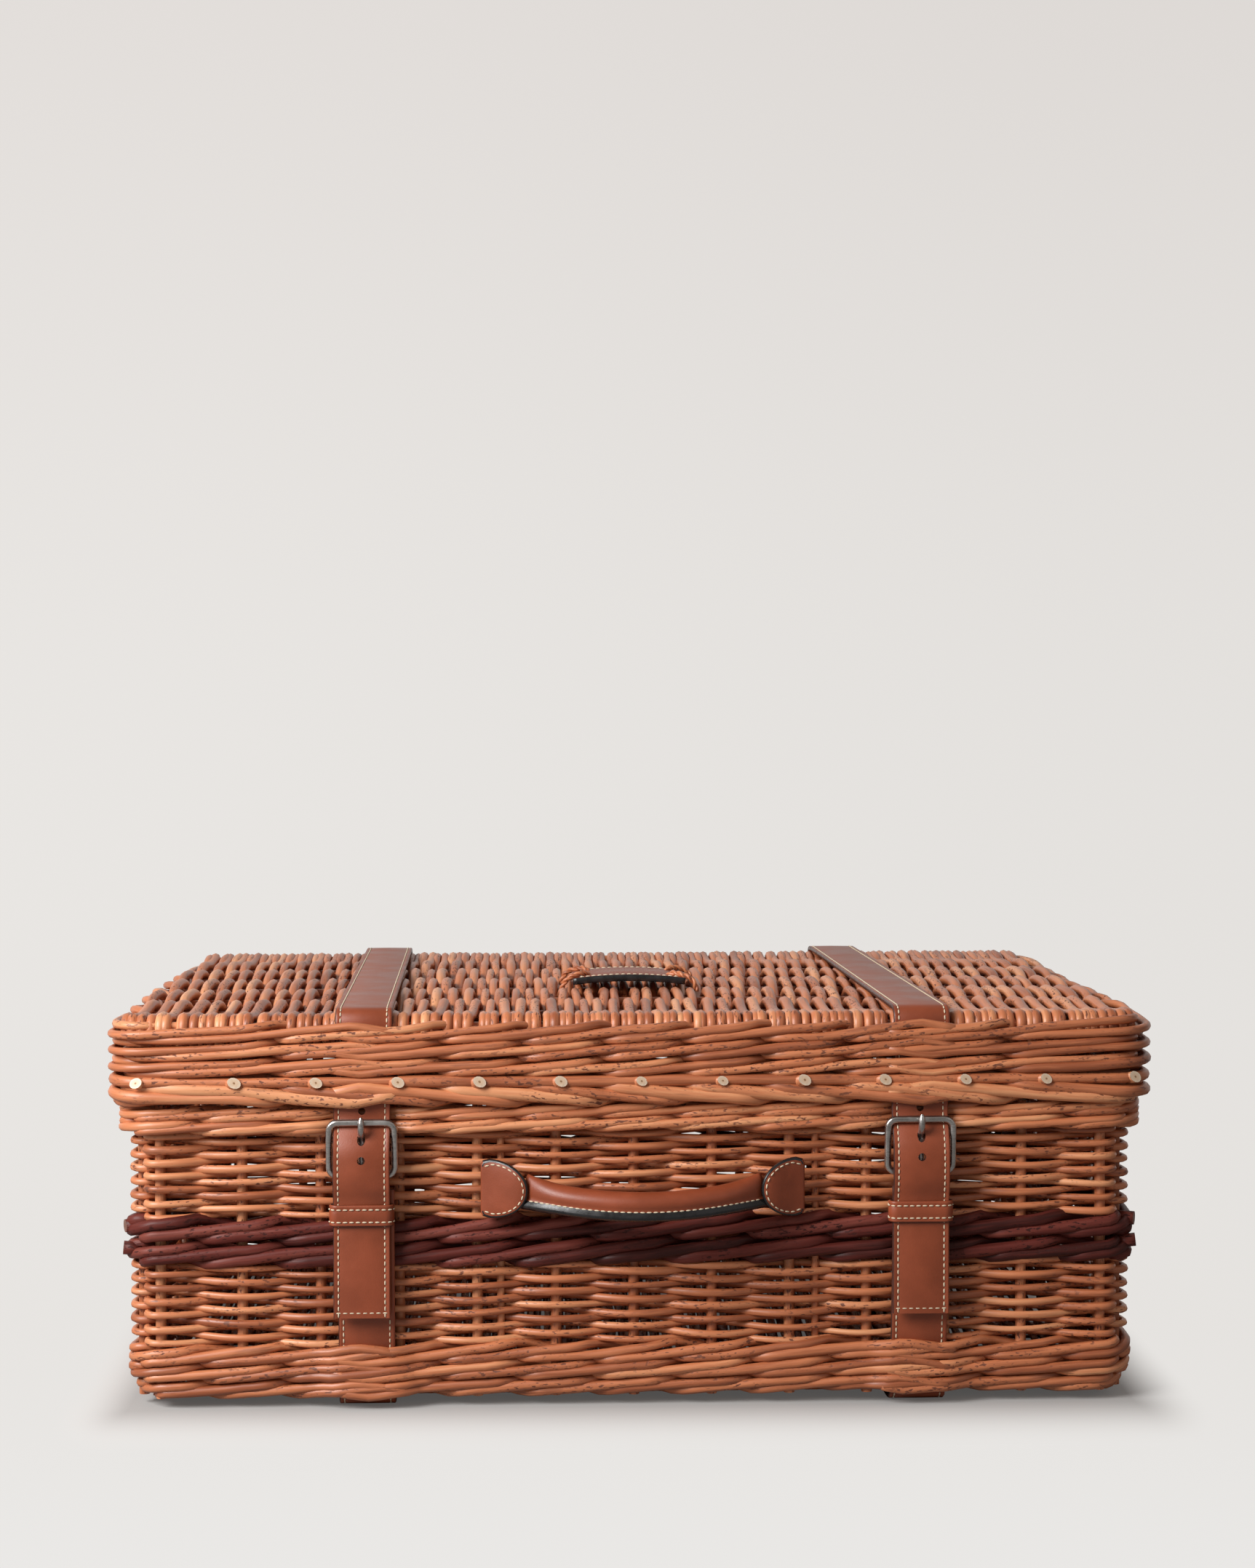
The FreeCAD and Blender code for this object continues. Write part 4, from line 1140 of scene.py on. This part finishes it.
def solid_object(name, points, faces):
    """A closed smooth mesh whose faces point outwards."""
    points = np.asarray(points, float)
    volume = 0.0
    for face in faces:
        first = points[face[0]]
        for a, b in zip(face[1:-1], face[2:]):
            volume += first @ np.cross(points[a], points[b])
    if volume < 0:
        faces = [face[::-1] for face in faces]
    mesh = bpy.data.meshes.new(name)
    mesh.from_pydata(points.tolist(), [], faces)
    mesh.polygons.foreach_set("use_smooth", [True] * len(faces))
    return linked(name, mesh)


def strap_outline(width, thick, groove):
    """Section of a strap, walked from its left edge over the top: round edges and grooves."""
    half = width / 2
    edge = 0.0005
    top = thick / 2
    cut = 0.0009
    rise = [(-half, -top + edge), (-half, top - edge), (-half + edge, top),
            (-half + groove - cut, top), (-half + groove, top - 0.00035),
            (-half + groove + cut, top), (0, top + 0.0001)]
    fall = [(-u, v) for u, v in rise[::-1][1:]]
    return rise + fall + [(half - edge, -top), (-half + edge, -top)]


def paint_edges(obj, kinds, edge_kinds, main, edge):
    """Give a swept piece its main finish and its edge finish."""
    paint(obj, (main, edge), [1 if kind in edge_kinds else 0 for kind in kinds])


def strap_edges(outline):
    """The faces of a swept strap_outline that are its edges, and its ends."""
    count = len(outline)
    return {0, 1, count - 1, count - 4, count - 3, -1}


def make_strap(name, line, width):
    """A belt length along a line, with its two rows of stitches' lines."""
    groove = bpy.context.scene.hamper_leather.groove
    outline = strap_outline(width, BELT_T, groove)
    obj, kinds, side, out = swept(name, line, (1, 0, 0), outline)
    paint_edges(obj, kinds, strap_edges(outline), "Belt leather", "Belt edge")
    rows = []
    for way in (-1, 1):
        u = way * (width / 2 - groove)
        rows.append(line + side * u + out * (BELT_T / 2 - 0.0001))
    return obj, rows


def shear(points):
    """The belts run a little to the left from front to back."""
    moved = np.array(points, float)
    moved[:, 0] -= BELT_LEAN * (moved[:, 1] + HALF_D) / (2 * HALF_D)
    return moved


def belt_line(x, points, rounds=3, step=0.004):
    """A belt's smooth centre line at x, from (y, z) points."""
    line = [(x, y, z) for y, z in points]
    return shear(even_line(smooth_line(line, rounds), step))


class HAMPER_OT_belts(bpy.types.Operator):
    """Cut, groove and stitch the two belts: under the basket, over the lid and their tails"""
    bl_idname = "hamper.belts"
    bl_label = "Belts"

    def execute(self, context):
        for side in SIDES:
            self.lower(side)
            self.lid(side)
            self.tail(side)
        return {"FINISHED"}

    def across(self, node):
        """Middle and width of a belt's CAD node."""
        low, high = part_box(node)
        return (low.x + high.x) / 2, high.x - low.x

    def lower(self, side):
        x, width = self.across("belt_lower_" + side)
        nearer = 0.001
        x -= SIDES[side] * nearer
        foot = level("foot_wale")[1]
        band = level("dark_band")[0]
        bar = PIVOTS["frame_%s_turn" % side].z
        front = -HALF_D
        t = BELT_T / 2
        run = [(front - 0.0019, foot + 0.012), (front - 0.0019, foot + 0.0015),
               (front + 0.0026, foot - 0.005), (front + 0.0028, 0.006), (front + 0.008, t),
               (front + 0.03, t)]
        down = [(front - BILLET_OUT, bar - 0.0075), (front - BILLET_OUT, band + 0.004)] + run
        up = [(-y, z) for y, z in run][::-1]
        up += [(-front + BELT_OUT, band + 0.004), (-front + BELT_OUT, BACK_LOW)]
        obj, rows = make_strap("leather_belt_lower_" + side, belt_line(x, down + up), width)
        settle(obj, "basket", "leather_belt", "belt_lower_" + side)
        stitch("stitches_belt_lower_" + side, rows, "basket", "leather_belt")

    def lid(self, side):
        x, width = self.across("belt_lid_" + side)
        front = -HALF_D - BELT_OUT
        top = level("belt_lid_" + side)[1] - BELT_T / 2
        over = [(-front, BACK_HIGH), (-front, 0.201), (-front - 0.0005, top - 0.0025),
                (-front - 0.005, top), (-front - 0.012, top)]
        path = over + [(-y, z) for y, z in over][::-1]
        path[-1] = (front, TAIL_TOP + 0.0006)
        obj, rows = make_strap("leather_belt_lid_" + side, belt_line(x, path), width)
        settle(obj, "lid", "leather_belt", "belt_lid_" + side)
        stitch("stitches_belt_lid_" + side, rows, "lid", "leather_belt")
        back = [(-front, BACK_LOW), (-front, 0.163), (-front, BACK_HIGH - 0.0003)]
        bend = ("basket", "lid", (0, -front, BACK_LOW + 0.002), (0, -front, BACK_HIGH - 0.002))
        obj, rows = make_strap("leather_belt_back_" + side, belt_line(x, back, 1, 0.0015), width)
        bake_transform(obj)
        stitch("stitches_belt_back_" + side, rows, "lid", "leather_belt", bend)

    def tail(self, side):
        x, width = self.across("belt_tail_" + side)
        x -= BUCKLE_SHIFT
        pivot = PIVOTS["tail_%s_swing" % side]
        bar = PIVOTS["frame_%s_turn" % side].z
        front = -HALF_D
        path = [(BELT_OUT, TAIL_TOP), (BELT_OUT, pivot.z), (0.0049, bar + 0.0285),
                (0.0085, bar + 0.0225), (0.0125, bar + 0.0150), (0.0134, bar + 0.004),
                (0.0128, bar - 0.005), (0.0102, bar - 0.0125), (0.0096, bar - 0.022),
                (0.0096, level("belt_tail_" + side)[0])]
        line = even_line(smooth_line([(x, front - out, z) for out, z in path], 3), 0.0016)
        obj, rows = make_strap("leather_belt_tail_" + side, line, width)
        holes = [(pivot.z - 0.0005, 0.0019), (bar + 0.0090, 0.0021)]
        self.punch(obj, x, holes, bar)
        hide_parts("belt_tail_" + side)
        bend = ("lid", "tail_" + side, (0, 0, pivot.z + 0.007), (0, 0, pivot.z - 0.007))
        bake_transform(obj)
        margin = bpy.context.scene.hamper_leather.groove
        rows = [row[:-1] for row in rows]
        end = line[-1] + np.array([0, -BELT_T / 2 + 0.0001, margin])
        half = width / 2 - margin
        rows.append([end + np.array([u, 0, 0]) for u in np.linspace(-half, half, 9)])
        stitch("stitches_belt_tail_" + side, rows, "tail_" + side, "leather_belt", bend)

    def punch(self, obj, x, holes, bar):
        """Cut the round holes and the tongue's slot."""
        cuts = [(z, radius, 0.010, 1.0) for z, radius in holes]
        cuts.append((bar + 0.0200, 0.0022, 0.012, 1.5))
        for z, radius, out, tall in cuts:
            bpy.ops.mesh.primitive_cylinder_add(vertices=20, radius=radius, depth=0.03,
                                                location=(x, -HALF_D - out, z),
                                                rotation=(math.radians(90), 0, 0))
            tool = bpy.context.active_object
            tool.scale = (1, tall, 1)
            paint(tool, ("Belt leather", "Belt edge"), [1] * len(tool.data.polygons))
            cutter = obj.modifiers.new("hole", "BOOLEAN")
            cutter.operation = "DIFFERENCE"
            cutter.object = tool
            bake_modifiers(obj)
            bpy.data.objects.remove(tool)
        obj.data.set_sharp_from_angle(angle=math.radians(38))


class HAMPER_OT_keepers(bpy.types.Operator):
    """Bend and stitch the leather keepers that hold the belts' tails"""
    bl_idname = "hamper.keepers"
    bl_label = "Keepers"

    def execute(self, context):
        for side in SIDES:
            low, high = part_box("keeper_" + side)
            tall = high.z - low.z
            thick = 0.0020
            margin = 0.0024
            half_x = (high.x - low.x - thick) / 2
            half_y = (high.y - low.y - thick) / 2
            x = (low.x + high.x) / 2 - BUCKLE_SHIFT
            y = (low.y + high.y) / 2
            ring = Loop(half_x, half_y, 0.0036)
            xs, ys = ring.at(ring.samples(0, ring.length, 0.002)[:-1], 0)
            line = np.stack([x + xs, y + ys, 0 * xs + (low.z + high.z) / 2], axis=1)
            outline = strap_outline(tall, thick, margin)
            obj, kinds, up, out = swept("leather_keeper_" + side, line, (0, 0, 1), outline,
                                        closed=True)
            paint_edges(obj, kinds, strap_edges(outline), "Belt leather", "Belt edge")
            settle(obj, "basket", "leather_belt", "keeper_" + side)
            rows = []
            for way in (-1, 1):
                row = line + up * way * (tall / 2 - margin) + out * (thick / 2)
                front = row[:, 1] < y + half_y * 0.6
                order = np.argsort(np.arctan2(row[:, 0] - x, -(row[:, 1] - y)))
                rows.append(row[[i for i in order if front[i]]])
            stitch("stitches_keeper_" + side, rows, "basket", "leather_belt")
        return {"FINISHED"}


FRAME_LEAN = math.atan2(2.5, 28.0)


class HAMPER_OT_buckles(bpy.types.Operator):
    """Forge the buckle frames with bevelled bars, their lower bars and their tongues"""
    bl_idname = "hamper.buckles"
    bl_label = "Buckles"

    def execute(self, context):
        for side in SIDES:
            self.frame(side)
            self.tongue(side)
        return {"FINISHED"}

    def frame(self, side):
        low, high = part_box("buckle_frame_" + side)
        pivot = PIVOTS["frame_%s_turn" % side]
        bar = 0.0035
        half_x = (high.x - low.x) / 2 - bar / 2
        tall = (high.z - pivot.z) / math.cos(FRAME_LEAN) + bar / 2 - 0.0001
        half_z = tall / 2 - bar / 2
        ring = Loop(half_x, half_z, 0.0046)
        ways = ring.samples(0, ring.length, 0.004)[:-1]
        xs, zs = ring.at(ways, 0)
        line = np.stack([xs, 0 * xs, zs + half_z], axis=1)
        flat = 0.0014
        half = bar / 2
        outline = [(-half, -flat), (-half, flat * 0.2), (-half + 0.0004, flat * 0.75),
                   (-half + 0.0011, flat), (half - 0.0011, flat), (half - 0.0004, flat * 0.75),
                   (half, flat * 0.2), (half, -flat)]
        obj = swept("buckle_" + side, line, (0, 1, 0), [(-v, u) for u, v in outline],
                    closed=True)[0]
        place = Matrix.Translation(pivot + Vector((-BUCKLE_SHIFT, 0, 0)))
        obj.data.transform(place @ Matrix.Rotation(FRAME_LEAN, 4, "X"))
        obj.data.materials.append(material("Antique nickel"))
        settle(obj, "frame_" + side, "buckle_metal", "buckle_frame_" + side)

    def tongue(self, side):
        pivot = PIVOTS["frame_%s_turn" % side]
        weave = Weave(lid_loop(), [(0, 0)], 5)
        x = pivot.x - BUCKLE_SHIFT
        path = [(0.0093, 0.0032), (0.0080, 0.0165), (0.0084, 0.0195), (0.0128, 0.0235),
                (0.0140, 0.0262), (0.0138, 0.0318)]
        points = [(x, -HALF_D - out, pivot.z + up) for out, up in path]
        line = even_line(smooth_line(points, 3), 0.0011)
        girth = np.full(len(line), 0.0018)
        girth[-3:] = (0.0016, 0.0013, 0.0007)
        weave.add(line, girth, 0.5)
        turn = np.linspace(0, 2 * math.pi, 25)
        around = 0.0029
        ring = np.stack([np.full(25, x), pivot.y + around * np.cos(turn),
                         pivot.z + around * np.sin(turn)], axis=1)
        weave.add(ring, 0.0010, 0.5)
        weave.build("buckle_tongue_" + side, 12, "Antique nickel", "pin_" + side, "buckle_metal",
                    "tongue_" + side)


# ------------------------------------------------------------ handle


def plate(name, outline, y_back, y_front, main, edge, dome=0.0006):
    """A leather plate facing the front, with a rounded dark edge and a slightly domed face."""
    outline = np.array(outline, float)
    centre = outline.mean(0)
    rings = []
    for amount, y in ((0, y_back), (0, y_front + 0.0007), (0.0006, y_front + 0.0002),
                      (0.0012, y_front), (0.0030, y_front - dome * 0.5),
                      (0.0065, y_front - dome)):
        ring = inset(outline, amount) if amount else outline
        rings.append(np.stack([ring[:, 0], np.full(len(ring), y), ring[:, 1]], axis=1))
    count = len(outline)
    points = np.vstack(rings + [[[centre[0], y_front - dome * 1.2, centre[1]]],
                                [[centre[0], y_back, centre[1]]]])
    faces = []
    picks = []
    for r in range(len(rings) - 1):
        for k in range(count):
            m = (k + 1) % count
            faces.append((r * count + k, r * count + m, (r + 1) * count + m, (r + 1) * count + k))
            picks.append(1 if r < 3 else 0)
    top = (len(rings) - 1) * count
    for k in range(count):
        m = (k + 1) % count
        faces.append((top + k, top + m, len(points) - 2))
        faces.append((m, k, len(points) - 1))
        picks += [0, 1]
    obj = solid_object(name, points, faces)
    paint(obj, (main, edge), picks)
    return obj


# the round part of the grip's section, and the way that its flange points
GRIP_TURN = np.radians(np.arange(-28, 268, 14.8))
SEAM_WAY = math.radians(-52)


def inset(outline, amount):
    """Draw a closed outline in towards its middle by about the amount on every side."""
    low, high = outline.min(0), outline.max(0)
    middle = (low + high) / 2
    return middle + (outline - middle) * (1 - 2 * amount / (high - low))


class HAMPER_OT_handle(bpy.types.Operator):
    """Cut the half-round end tabs and roll the stitched grip between them"""
    bl_idname = "hamper.handle"
    bl_label = "Handle"

    def execute(self, context):
        for side in SIDES:
            self.tab(side)
        self.grip()
        self.inside()
        return {"FINISHED"}

    def tab(self, side):
        low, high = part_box("handle_tab_" + side)
        edge = low.x + 0.0020 if side == "left" else high.x - 0.0030
        tip = high.x + 0.0015 if side == "left" else low.x - 0.0010
        middle = PIVOTS["handle_swing"].z
        half = high.z - middle - 0.0003
        inward = -SIDES[side]
        reach = abs(tip - edge)
        turn = np.radians(np.linspace(-90, 90, 25))
        flat_part = 0.0045
        arc = [(edge + inward * (flat_part + (reach - flat_part) * math.cos(a)),
                middle + half * math.sin(a)) for a in turn]
        outline = [(edge, middle - half + 0.003), (edge + inward * 0.001, middle - half + 0.001)]
        outline += arc + [(edge + inward * 0.001, middle + half - 0.001),
                          (edge, middle + half - 0.003)]
        outline += [(edge, middle + half * share) for share in (0.5, 0.0, -0.5)]
        if side == "right":
            outline = outline[::-1]
        front = low.y
        obj = plate("leather_tab_" + side, outline, front + 0.0032, front, "Belt leather",
                    "Black edge")
        places = vertex_places(obj.data)
        places[:, 1] -= self.lift(places[:, 0], edge, tip)
        obj.data.vertices.foreach_set("co", places.ravel())
        for face in obj.data.polygons:
            if abs(face.center.x - edge) < 0.0011:
                face.material_index = 0
        settle(obj, "basket", "leather_handle", "handle_tab_" + side)
        row = inset(np.array(outline), 0.0025)
        if side == "right":
            row = row[::-1]
        chain = [(u, front - 0.0003 - self.lift(u, edge, tip), v) for u, v in row[1:28]]
        stitch("stitches_tab_" + side, [chain], "basket", "leather_handle")

    def lift(self, x, edge, tip):
        """The tab rises over the end of the grip towards its rounded side."""
        return 0.0092 * ease(np.clip((x - edge) / (tip - edge), 0, 1))

    def grip(self):
        low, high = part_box("handle_grip")
        pivot = PIVOTS["handle_swing"]
        reach = (high.x - low.x) / 2
        middle = (low.x + high.x) / 2
        stand = -HALF_D - low.y - 0.007
        shares = np.linspace(-1.0, 1.0, 73)
        bow = np.clip(1 - shares * shares, -0.2, 1)
        outs = HANDLE_OUT + (stand - HANDLE_OUT) * bow
        line = np.stack([middle + shares * reach, -(HALF_D + outs),
                         pivot.z - 0.0046 * np.clip(bow, 0, 1)], axis=1)
        outlines = []
        for share in shares:
            swell = max(0.0, (abs(share) - 0.6) / 0.42) ** 2
            tall = 0.0060 + 0.0024 * swell
            deep = 0.0070 - 0.0044 * swell
            outlines.append(self.section(tall, deep))
        obj, kinds, side, out = swept("leather_grip", line, (0, 0, 1), np.array(outlines))
        seam = len(GRIP_TURN)
        paint_edges(obj, kinds, set(range(seam, seam + 5)), "Belt leather", "Black edge")
        settle(obj, "handle", "leather_handle", "handle_grip", "handle_core")
        groove = []
        for i, outline in enumerate(outlines):
            u, v = outline[seam + 5]
            groove.append(line[i] + side[i] * u + out[i] * (v + 0.00012))
        stitch("stitches_grip", [groove[3:-3]], "handle", "leather_handle")

    def section(self, tall, deep):
        """Round section with a sewn flange low on its front; u is up and v is out."""
        points = [(tall * math.sin(a), deep * math.cos(a)) for a in GRIP_TURN]
        u, v = math.sin(SEAM_WAY), math.cos(SEAM_WAY)
        base_u, base_v = tall * u * 0.92, deep * v * 0.92
        root = 0.0008
        tip = 0.0044
        half = 0.0022
        flange = [(root, -half), (tip * 0.82, -half), (tip, -half * 0.6), (tip, half * 0.6),
                  (tip * 0.82, half), (root, half)]
        return points + [(base_u + u * out + v * side, base_v + v * out - u * side)
                         for out, side in flange]

    def inside(self):
        """The short rods inside the basket that the tabs loop round."""
        weave = basket_weave(61)
        low, high = level("handle_anchors")
        for x, y in upright_places("handle_anchors"):
            straight(weave, (x, y, low), (x, y, high), 0.0025, bend=0.0002)
        weave.build("willow_handle_anchors", 10, "Buff willow", "basket", "willow_stake",
                    "handle_anchors")


# ------------------------------------------------------------ label and hinges


class HAMPER_OT_label(bpy.types.Operator):
    """Cut the blank grained label, stitch its border and tie its corners with willow"""
    bl_idname = "hamper.label"
    bl_label = "Label"

    def execute(self, context):
        low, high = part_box("label")
        half = (high.x - low.x) / 2
        x = (low.x + high.x) / 2
        thick = 0.0040
        rise = (high.z - low.z) - 0.0036
        ys = (low.y + high.y) / 2
        deep = (high.y - low.y) / 2
        shares = np.linspace(-1, 1, 25)
        line = np.stack([x + shares * half, np.full(25, ys),
                         low.z + 0.0016 + rise * (1 - shares * shares)], axis=1)
        outline = strap_outline(2 * deep, thick, 0.0030)
        obj, kinds, side, out = swept("leather_label", line, (0, 1, 0), outline)
        if out[12][2] < 0:
            raise RuntimeError("the label faces down")
        paint_edges(obj, kinds, strap_edges(outline), "Label leather", "Black edge")
        settle(obj, "lid", "leather_label", "label")
        margin = 0.0030
        top = line + out * (thick / 2)
        keep = top[2:-2]
        rows = [keep + side[2:-2] * (deep - margin), keep - side[2:-2] * (deep - margin)]
        for end in (keep[0], keep[-1]):
            rows.append([end + np.array([0, u, 0]) for u in np.linspace(-deep + margin,
                                                                       deep - margin, 12)])
        stitch("stitches_label", rows, "lid", "leather_label")
        self.ties(x, ys, half, deep, low.z)
        return {"FINISHED"}

    def ties(self, x, y, half, deep, low):
        """Two rods twisted round each other at every corner of the label."""
        weave = basket_weave(71)
        for sx in (-1, 1):
            for sy in (-1, 1):
                points = [(x + sx * (half + 0.0070), y + sy * (deep - 0.004), low - 0.0045),
                          (x + sx * (half + 0.0050), y + sy * (deep - 0.003), low + 0.0020),
                          (x + sx * (half - 0.0010), y + sy * (deep - 0.004), low + 0.0052),
                          (x + sx * (half - 0.0080), y + sy * (deep - 0.010), low + 0.0062),
                          (x + sx * (half - 0.0100), y + sy * (deep - 0.013), low + 0.0030)]
                core = even_line(smooth_line(points, 3), 0.0008)
                side, out = line_frames(core, (0, 1, 0.2))
                turn = np.arange(len(core)) * 0.55
                apart = 0.0008
                for start in (0.0, math.pi):
                    strand = (core + side * (apart * np.cos(turn + start))[:, None]
                              + out * (apart * np.sin(turn + start))[:, None])
                    weave.add(strand, 0.0010, weave.tone())
        weave.build("willow_label_ties", 7, "Buff willow", "lid", "willow_buff", "label_ties")


class HAMPER_OT_hinges(bpy.types.Operator):
    """Twist the willow hinge loops at the back, half on the basket and half on the lid"""
    bl_idname = "hamper.hinges"
    bl_label = "Hinge loops"

    def execute(self, context):
        pivot = PIVOTS["lid_hinge"]
        for body, way in (("basket", -1), ("lid", 1)):
            node = "hinge_loops_" + body
            weave = basket_weave(81)
            for x in self.places(node):
                end = pivot.z + way * 0.0135
                inner = HALF_D + (0.006 if way > 0 else 0.001)
                for offset in (-0.0017, 0.0, 0.0017):
                    points = [(x + offset, inner, end + way * 0.003),
                              (x + offset, pivot.y - 0.001, end),
                              (x + offset, pivot.y, pivot.z + way * 0.008),
                              (x + offset * 0.6, pivot.y, pivot.z + way * 0.0012)]
                    weave.add(even_line(smooth_line(points, 3), 0.0012), 0.00135, weave.tone())
                knuckle = [(x - 0.0029, pivot.y, pivot.z), (x + 0.0029, pivot.y, pivot.z)]
                weave.add(even_line(np.array(knuckle), 0.001), 0.0016, 0.3)
            weave.build("willow_" + node, 8, "Buff willow", body, "willow_buff", node)
        return {"FINISHED"}

    def places(self, node):
        """Middle x of each loop, found from its vertices."""
        xs = np.sort(vertex_places(frame["nodes"][node].data)[:, 0])
        groups = np.split(xs, np.where(np.diff(xs) > 0.02)[0] + 1)
        return [(group.min() + group.max()) / 2 for group in groups]


# ------------------------------------------------------------ stage


class HAMPER_OT_stage(bpy.types.Operator):
    """Lay the pale floor and backdrop, light them softly and set the camera"""
    bl_idname = "hamper.stage"
    bl_label = "Stage"

    def execute(self, context):
        scene = context.scene
        stage = scene.hamper_stage
        self.sweep(stage.pale)
        self.lamp("key", (-1.14, -0.98, 1.00), 0.8, stage.key)
        self.lamp("fill", (1.6, -1.6, 1.2), 1.4, stage.fill)
        self.world(scene, stage.ambient)
        camera = bpy.data.cameras.new("camera")
        camera.sensor_width = 36
        camera.lens = camera.sensor_width * 3600 / 2156
        obj = linked("camera", camera)
        obj.location = (-0.0484, -1.5795, 0.3678)
        obj.rotation_euler = (math.radians(90 - 1.40), math.radians(0.09), math.radians(-1.88))
        scene.camera = obj
        scene.view_settings.view_transform = "Standard"
        return {"FINISHED"}

    def sweep(self, pale):
        """A floor that curves up into a backdrop, far behind.

        Away from the hamper it glows, with painted shade that makes the glow darker towards the
        back, higher up and a little to the right. Near the hamper it takes real light and shade,
        and its colour is darkened there into a painted shadow round the foot."""
        back = 2.6
        bend = 1.2
        profile = [(-4.0, 0.0), (-1.0, 0.0), (1.0, 0.0), (back, 0.0)]
        profile += [(back + bend * math.sin(a), bend * (1 - math.cos(a)))
                    for a in np.radians(np.linspace(6, 90, 15))]
        profile.append((back + bend, 5.0))
        points = [(x, y, z) for x in (-6.0, 6.0) for y, z in profile]
        count = len(profile)
        faces = [(i, i + count, i + count + 1, i + 1) for i in range(count - 1)]
        mesh = bpy.data.meshes.new("backdrop")
        mesh.from_pydata(points, [], faces)
        mesh.polygons.foreach_set("use_smooth", [True] * len(faces))
        obj = linked("backdrop", mesh)
        finish, tree, shader = new_material("Pale paper with painted shade")
        place = tree.here()
        paper = tree.mix(tree.noise(place, 0.7, 1.0), pale, dimmed(pale, 0.985))
        x, y, z = tree.separated(place)
        # painted shade: the glow darkens towards the back of the floor, higher up the backdrop and
        # a little to the right
        near = tree.mix(tree.step(y, -0.7, 0.0), (0.845, 0.835, 0.820, 1),
                        (0.812, 0.790, 0.765, 1))
        tone = tree.mix(tree.step(z, 0.1, 2.6), near, (0.752, 0.714, 0.688, 1))
        side = tree.mix(tree.step(x, -1.2, 1.4, 0.0, 0.05), tone, (0.1, 0.08, 0.06, 1))
        glow_with_painted_shade = tree.use("ShaderNodeEmission", {"Color": side})[0]
        beside, before = [
            tree.math("MAXIMUM", tree.math("SUBTRACT", tree.math("ABSOLUTE", at), half), 0.0)
            for at, half in ((x, HALF_W), (y, HALF_D))]
        # the painted shadow, and the place where the floor turns to glow, reach less than half as
        # far at the sides as in front and behind
        beside = tree.math("MULTIPLY", beside, 2.2)
        gap = tree.math("SQRT", tree.math("ADD", tree.math("MULTIPLY", beside, beside),
                                          tree.math("MULTIPLY", before, before)))
        far = tree.step(gap, -0.02, 0.085)
        # painted shadow: near the hamper the floor's colour darkens to half the pale colour,
        # fading out by about 85 mm in front and behind
        paper_with_painted_shadow = tree.mix(far, dimmed(pale, 0.5), paper)
        rays = tree.add("ShaderNodeLightPath").outputs
        behind = tree.math("MULTIPLY", rays["Is Glossy Ray"], tree.step(y, 0.2, 0.6))
        seen = tree.math("MAXIMUM", rays["Is Camera Ray"], behind)
        # rays other than the camera's see the floor at 0.35 of the pale colour, so that it bounces
        # less light onto the hamper
        base = tree.mix(rays["Is Camera Ray"], dimmed(pale, 0.35), paper_with_painted_shadow)
        tree.wire(shader.inputs, {"Base Color": base, "Roughness": 0.9,
                                  "Specular IOR Level": 0.1})
        blend = tree.use("ShaderNodeMixShader", {0: tree.math("MULTIPLY", far, seen),
                                                 1: shader.outputs[0], 2: glow_with_painted_shade})
        output = finish.node_tree.nodes["Material Output"]
        tree.put(output.inputs["Surface"], blend[0])
        mesh.materials.append(finish)

    def lamp(self, name, place, size, power):
        lamp = bpy.data.lights.new(name, "AREA")
        lamp.size = size
        lamp.energy = power
        obj = linked(name, lamp)
        obj.location = place
        aim = Vector((0, 0, 0.1)) - Vector(place)
        obj.rotation_euler = aim.to_track_quat("-Z", "Y").to_euler()

    def world(self, scene, strength):
        world = bpy.data.worlds.new("soft room")
        world.use_nodes = True
        ground = world.node_tree.nodes["Background"]
        ground.inputs["Color"].default_value = (1.0, 0.92, 0.86, 1)
        ground.inputs["Strength"].default_value = strength
        scene.world = world


class HAMPER_PT_panel(bpy.types.Panel):
    bl_label = "Hamper"
    bl_idname = "HAMPER_PT_panel"
    bl_space_type = "VIEW_3D"
    bl_region_type = "UI"
    bl_category = "Hamper"

    def draw(self, context):
        for operator in OPERATORS:
            self.layout.operator(operator.bl_idname)


OPERATORS = (HAMPER_OT_siding, HAMPER_OT_waling, HAMPER_OT_rim, HAMPER_OT_uprights,
             HAMPER_OT_cut_ends, HAMPER_OT_panels, HAMPER_OT_belts, HAMPER_OT_keepers,
             HAMPER_OT_buckles, HAMPER_OT_handle, HAMPER_OT_label, HAMPER_OT_hinges,
             HAMPER_OT_stage)
CLASSES = (HamperWillow, HamperLeather, HamperStage) + OPERATORS + (HAMPER_PT_panel,)


def register():
    for cls in CLASSES:
        bpy.utils.register_class(cls)
    bpy.types.Scene.hamper_willow = PointerProperty(type=HamperWillow)
    bpy.types.Scene.hamper_leather = PointerProperty(type=HamperLeather)
    bpy.types.Scene.hamper_stage = PointerProperty(type=HamperStage)


def unregister():
    del bpy.types.Scene.hamper_stage
    del bpy.types.Scene.hamper_leather
    del bpy.types.Scene.hamper_willow
    for cls in reversed(CLASSES):
        bpy.utils.unregister_class(cls)


def main():
    register()
    for operator in OPERATORS:
        group, action = operator.bl_idname.split(".")
        getattr(getattr(bpy.ops, group), action)()
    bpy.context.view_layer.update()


if __name__ == "__main__":
    main()
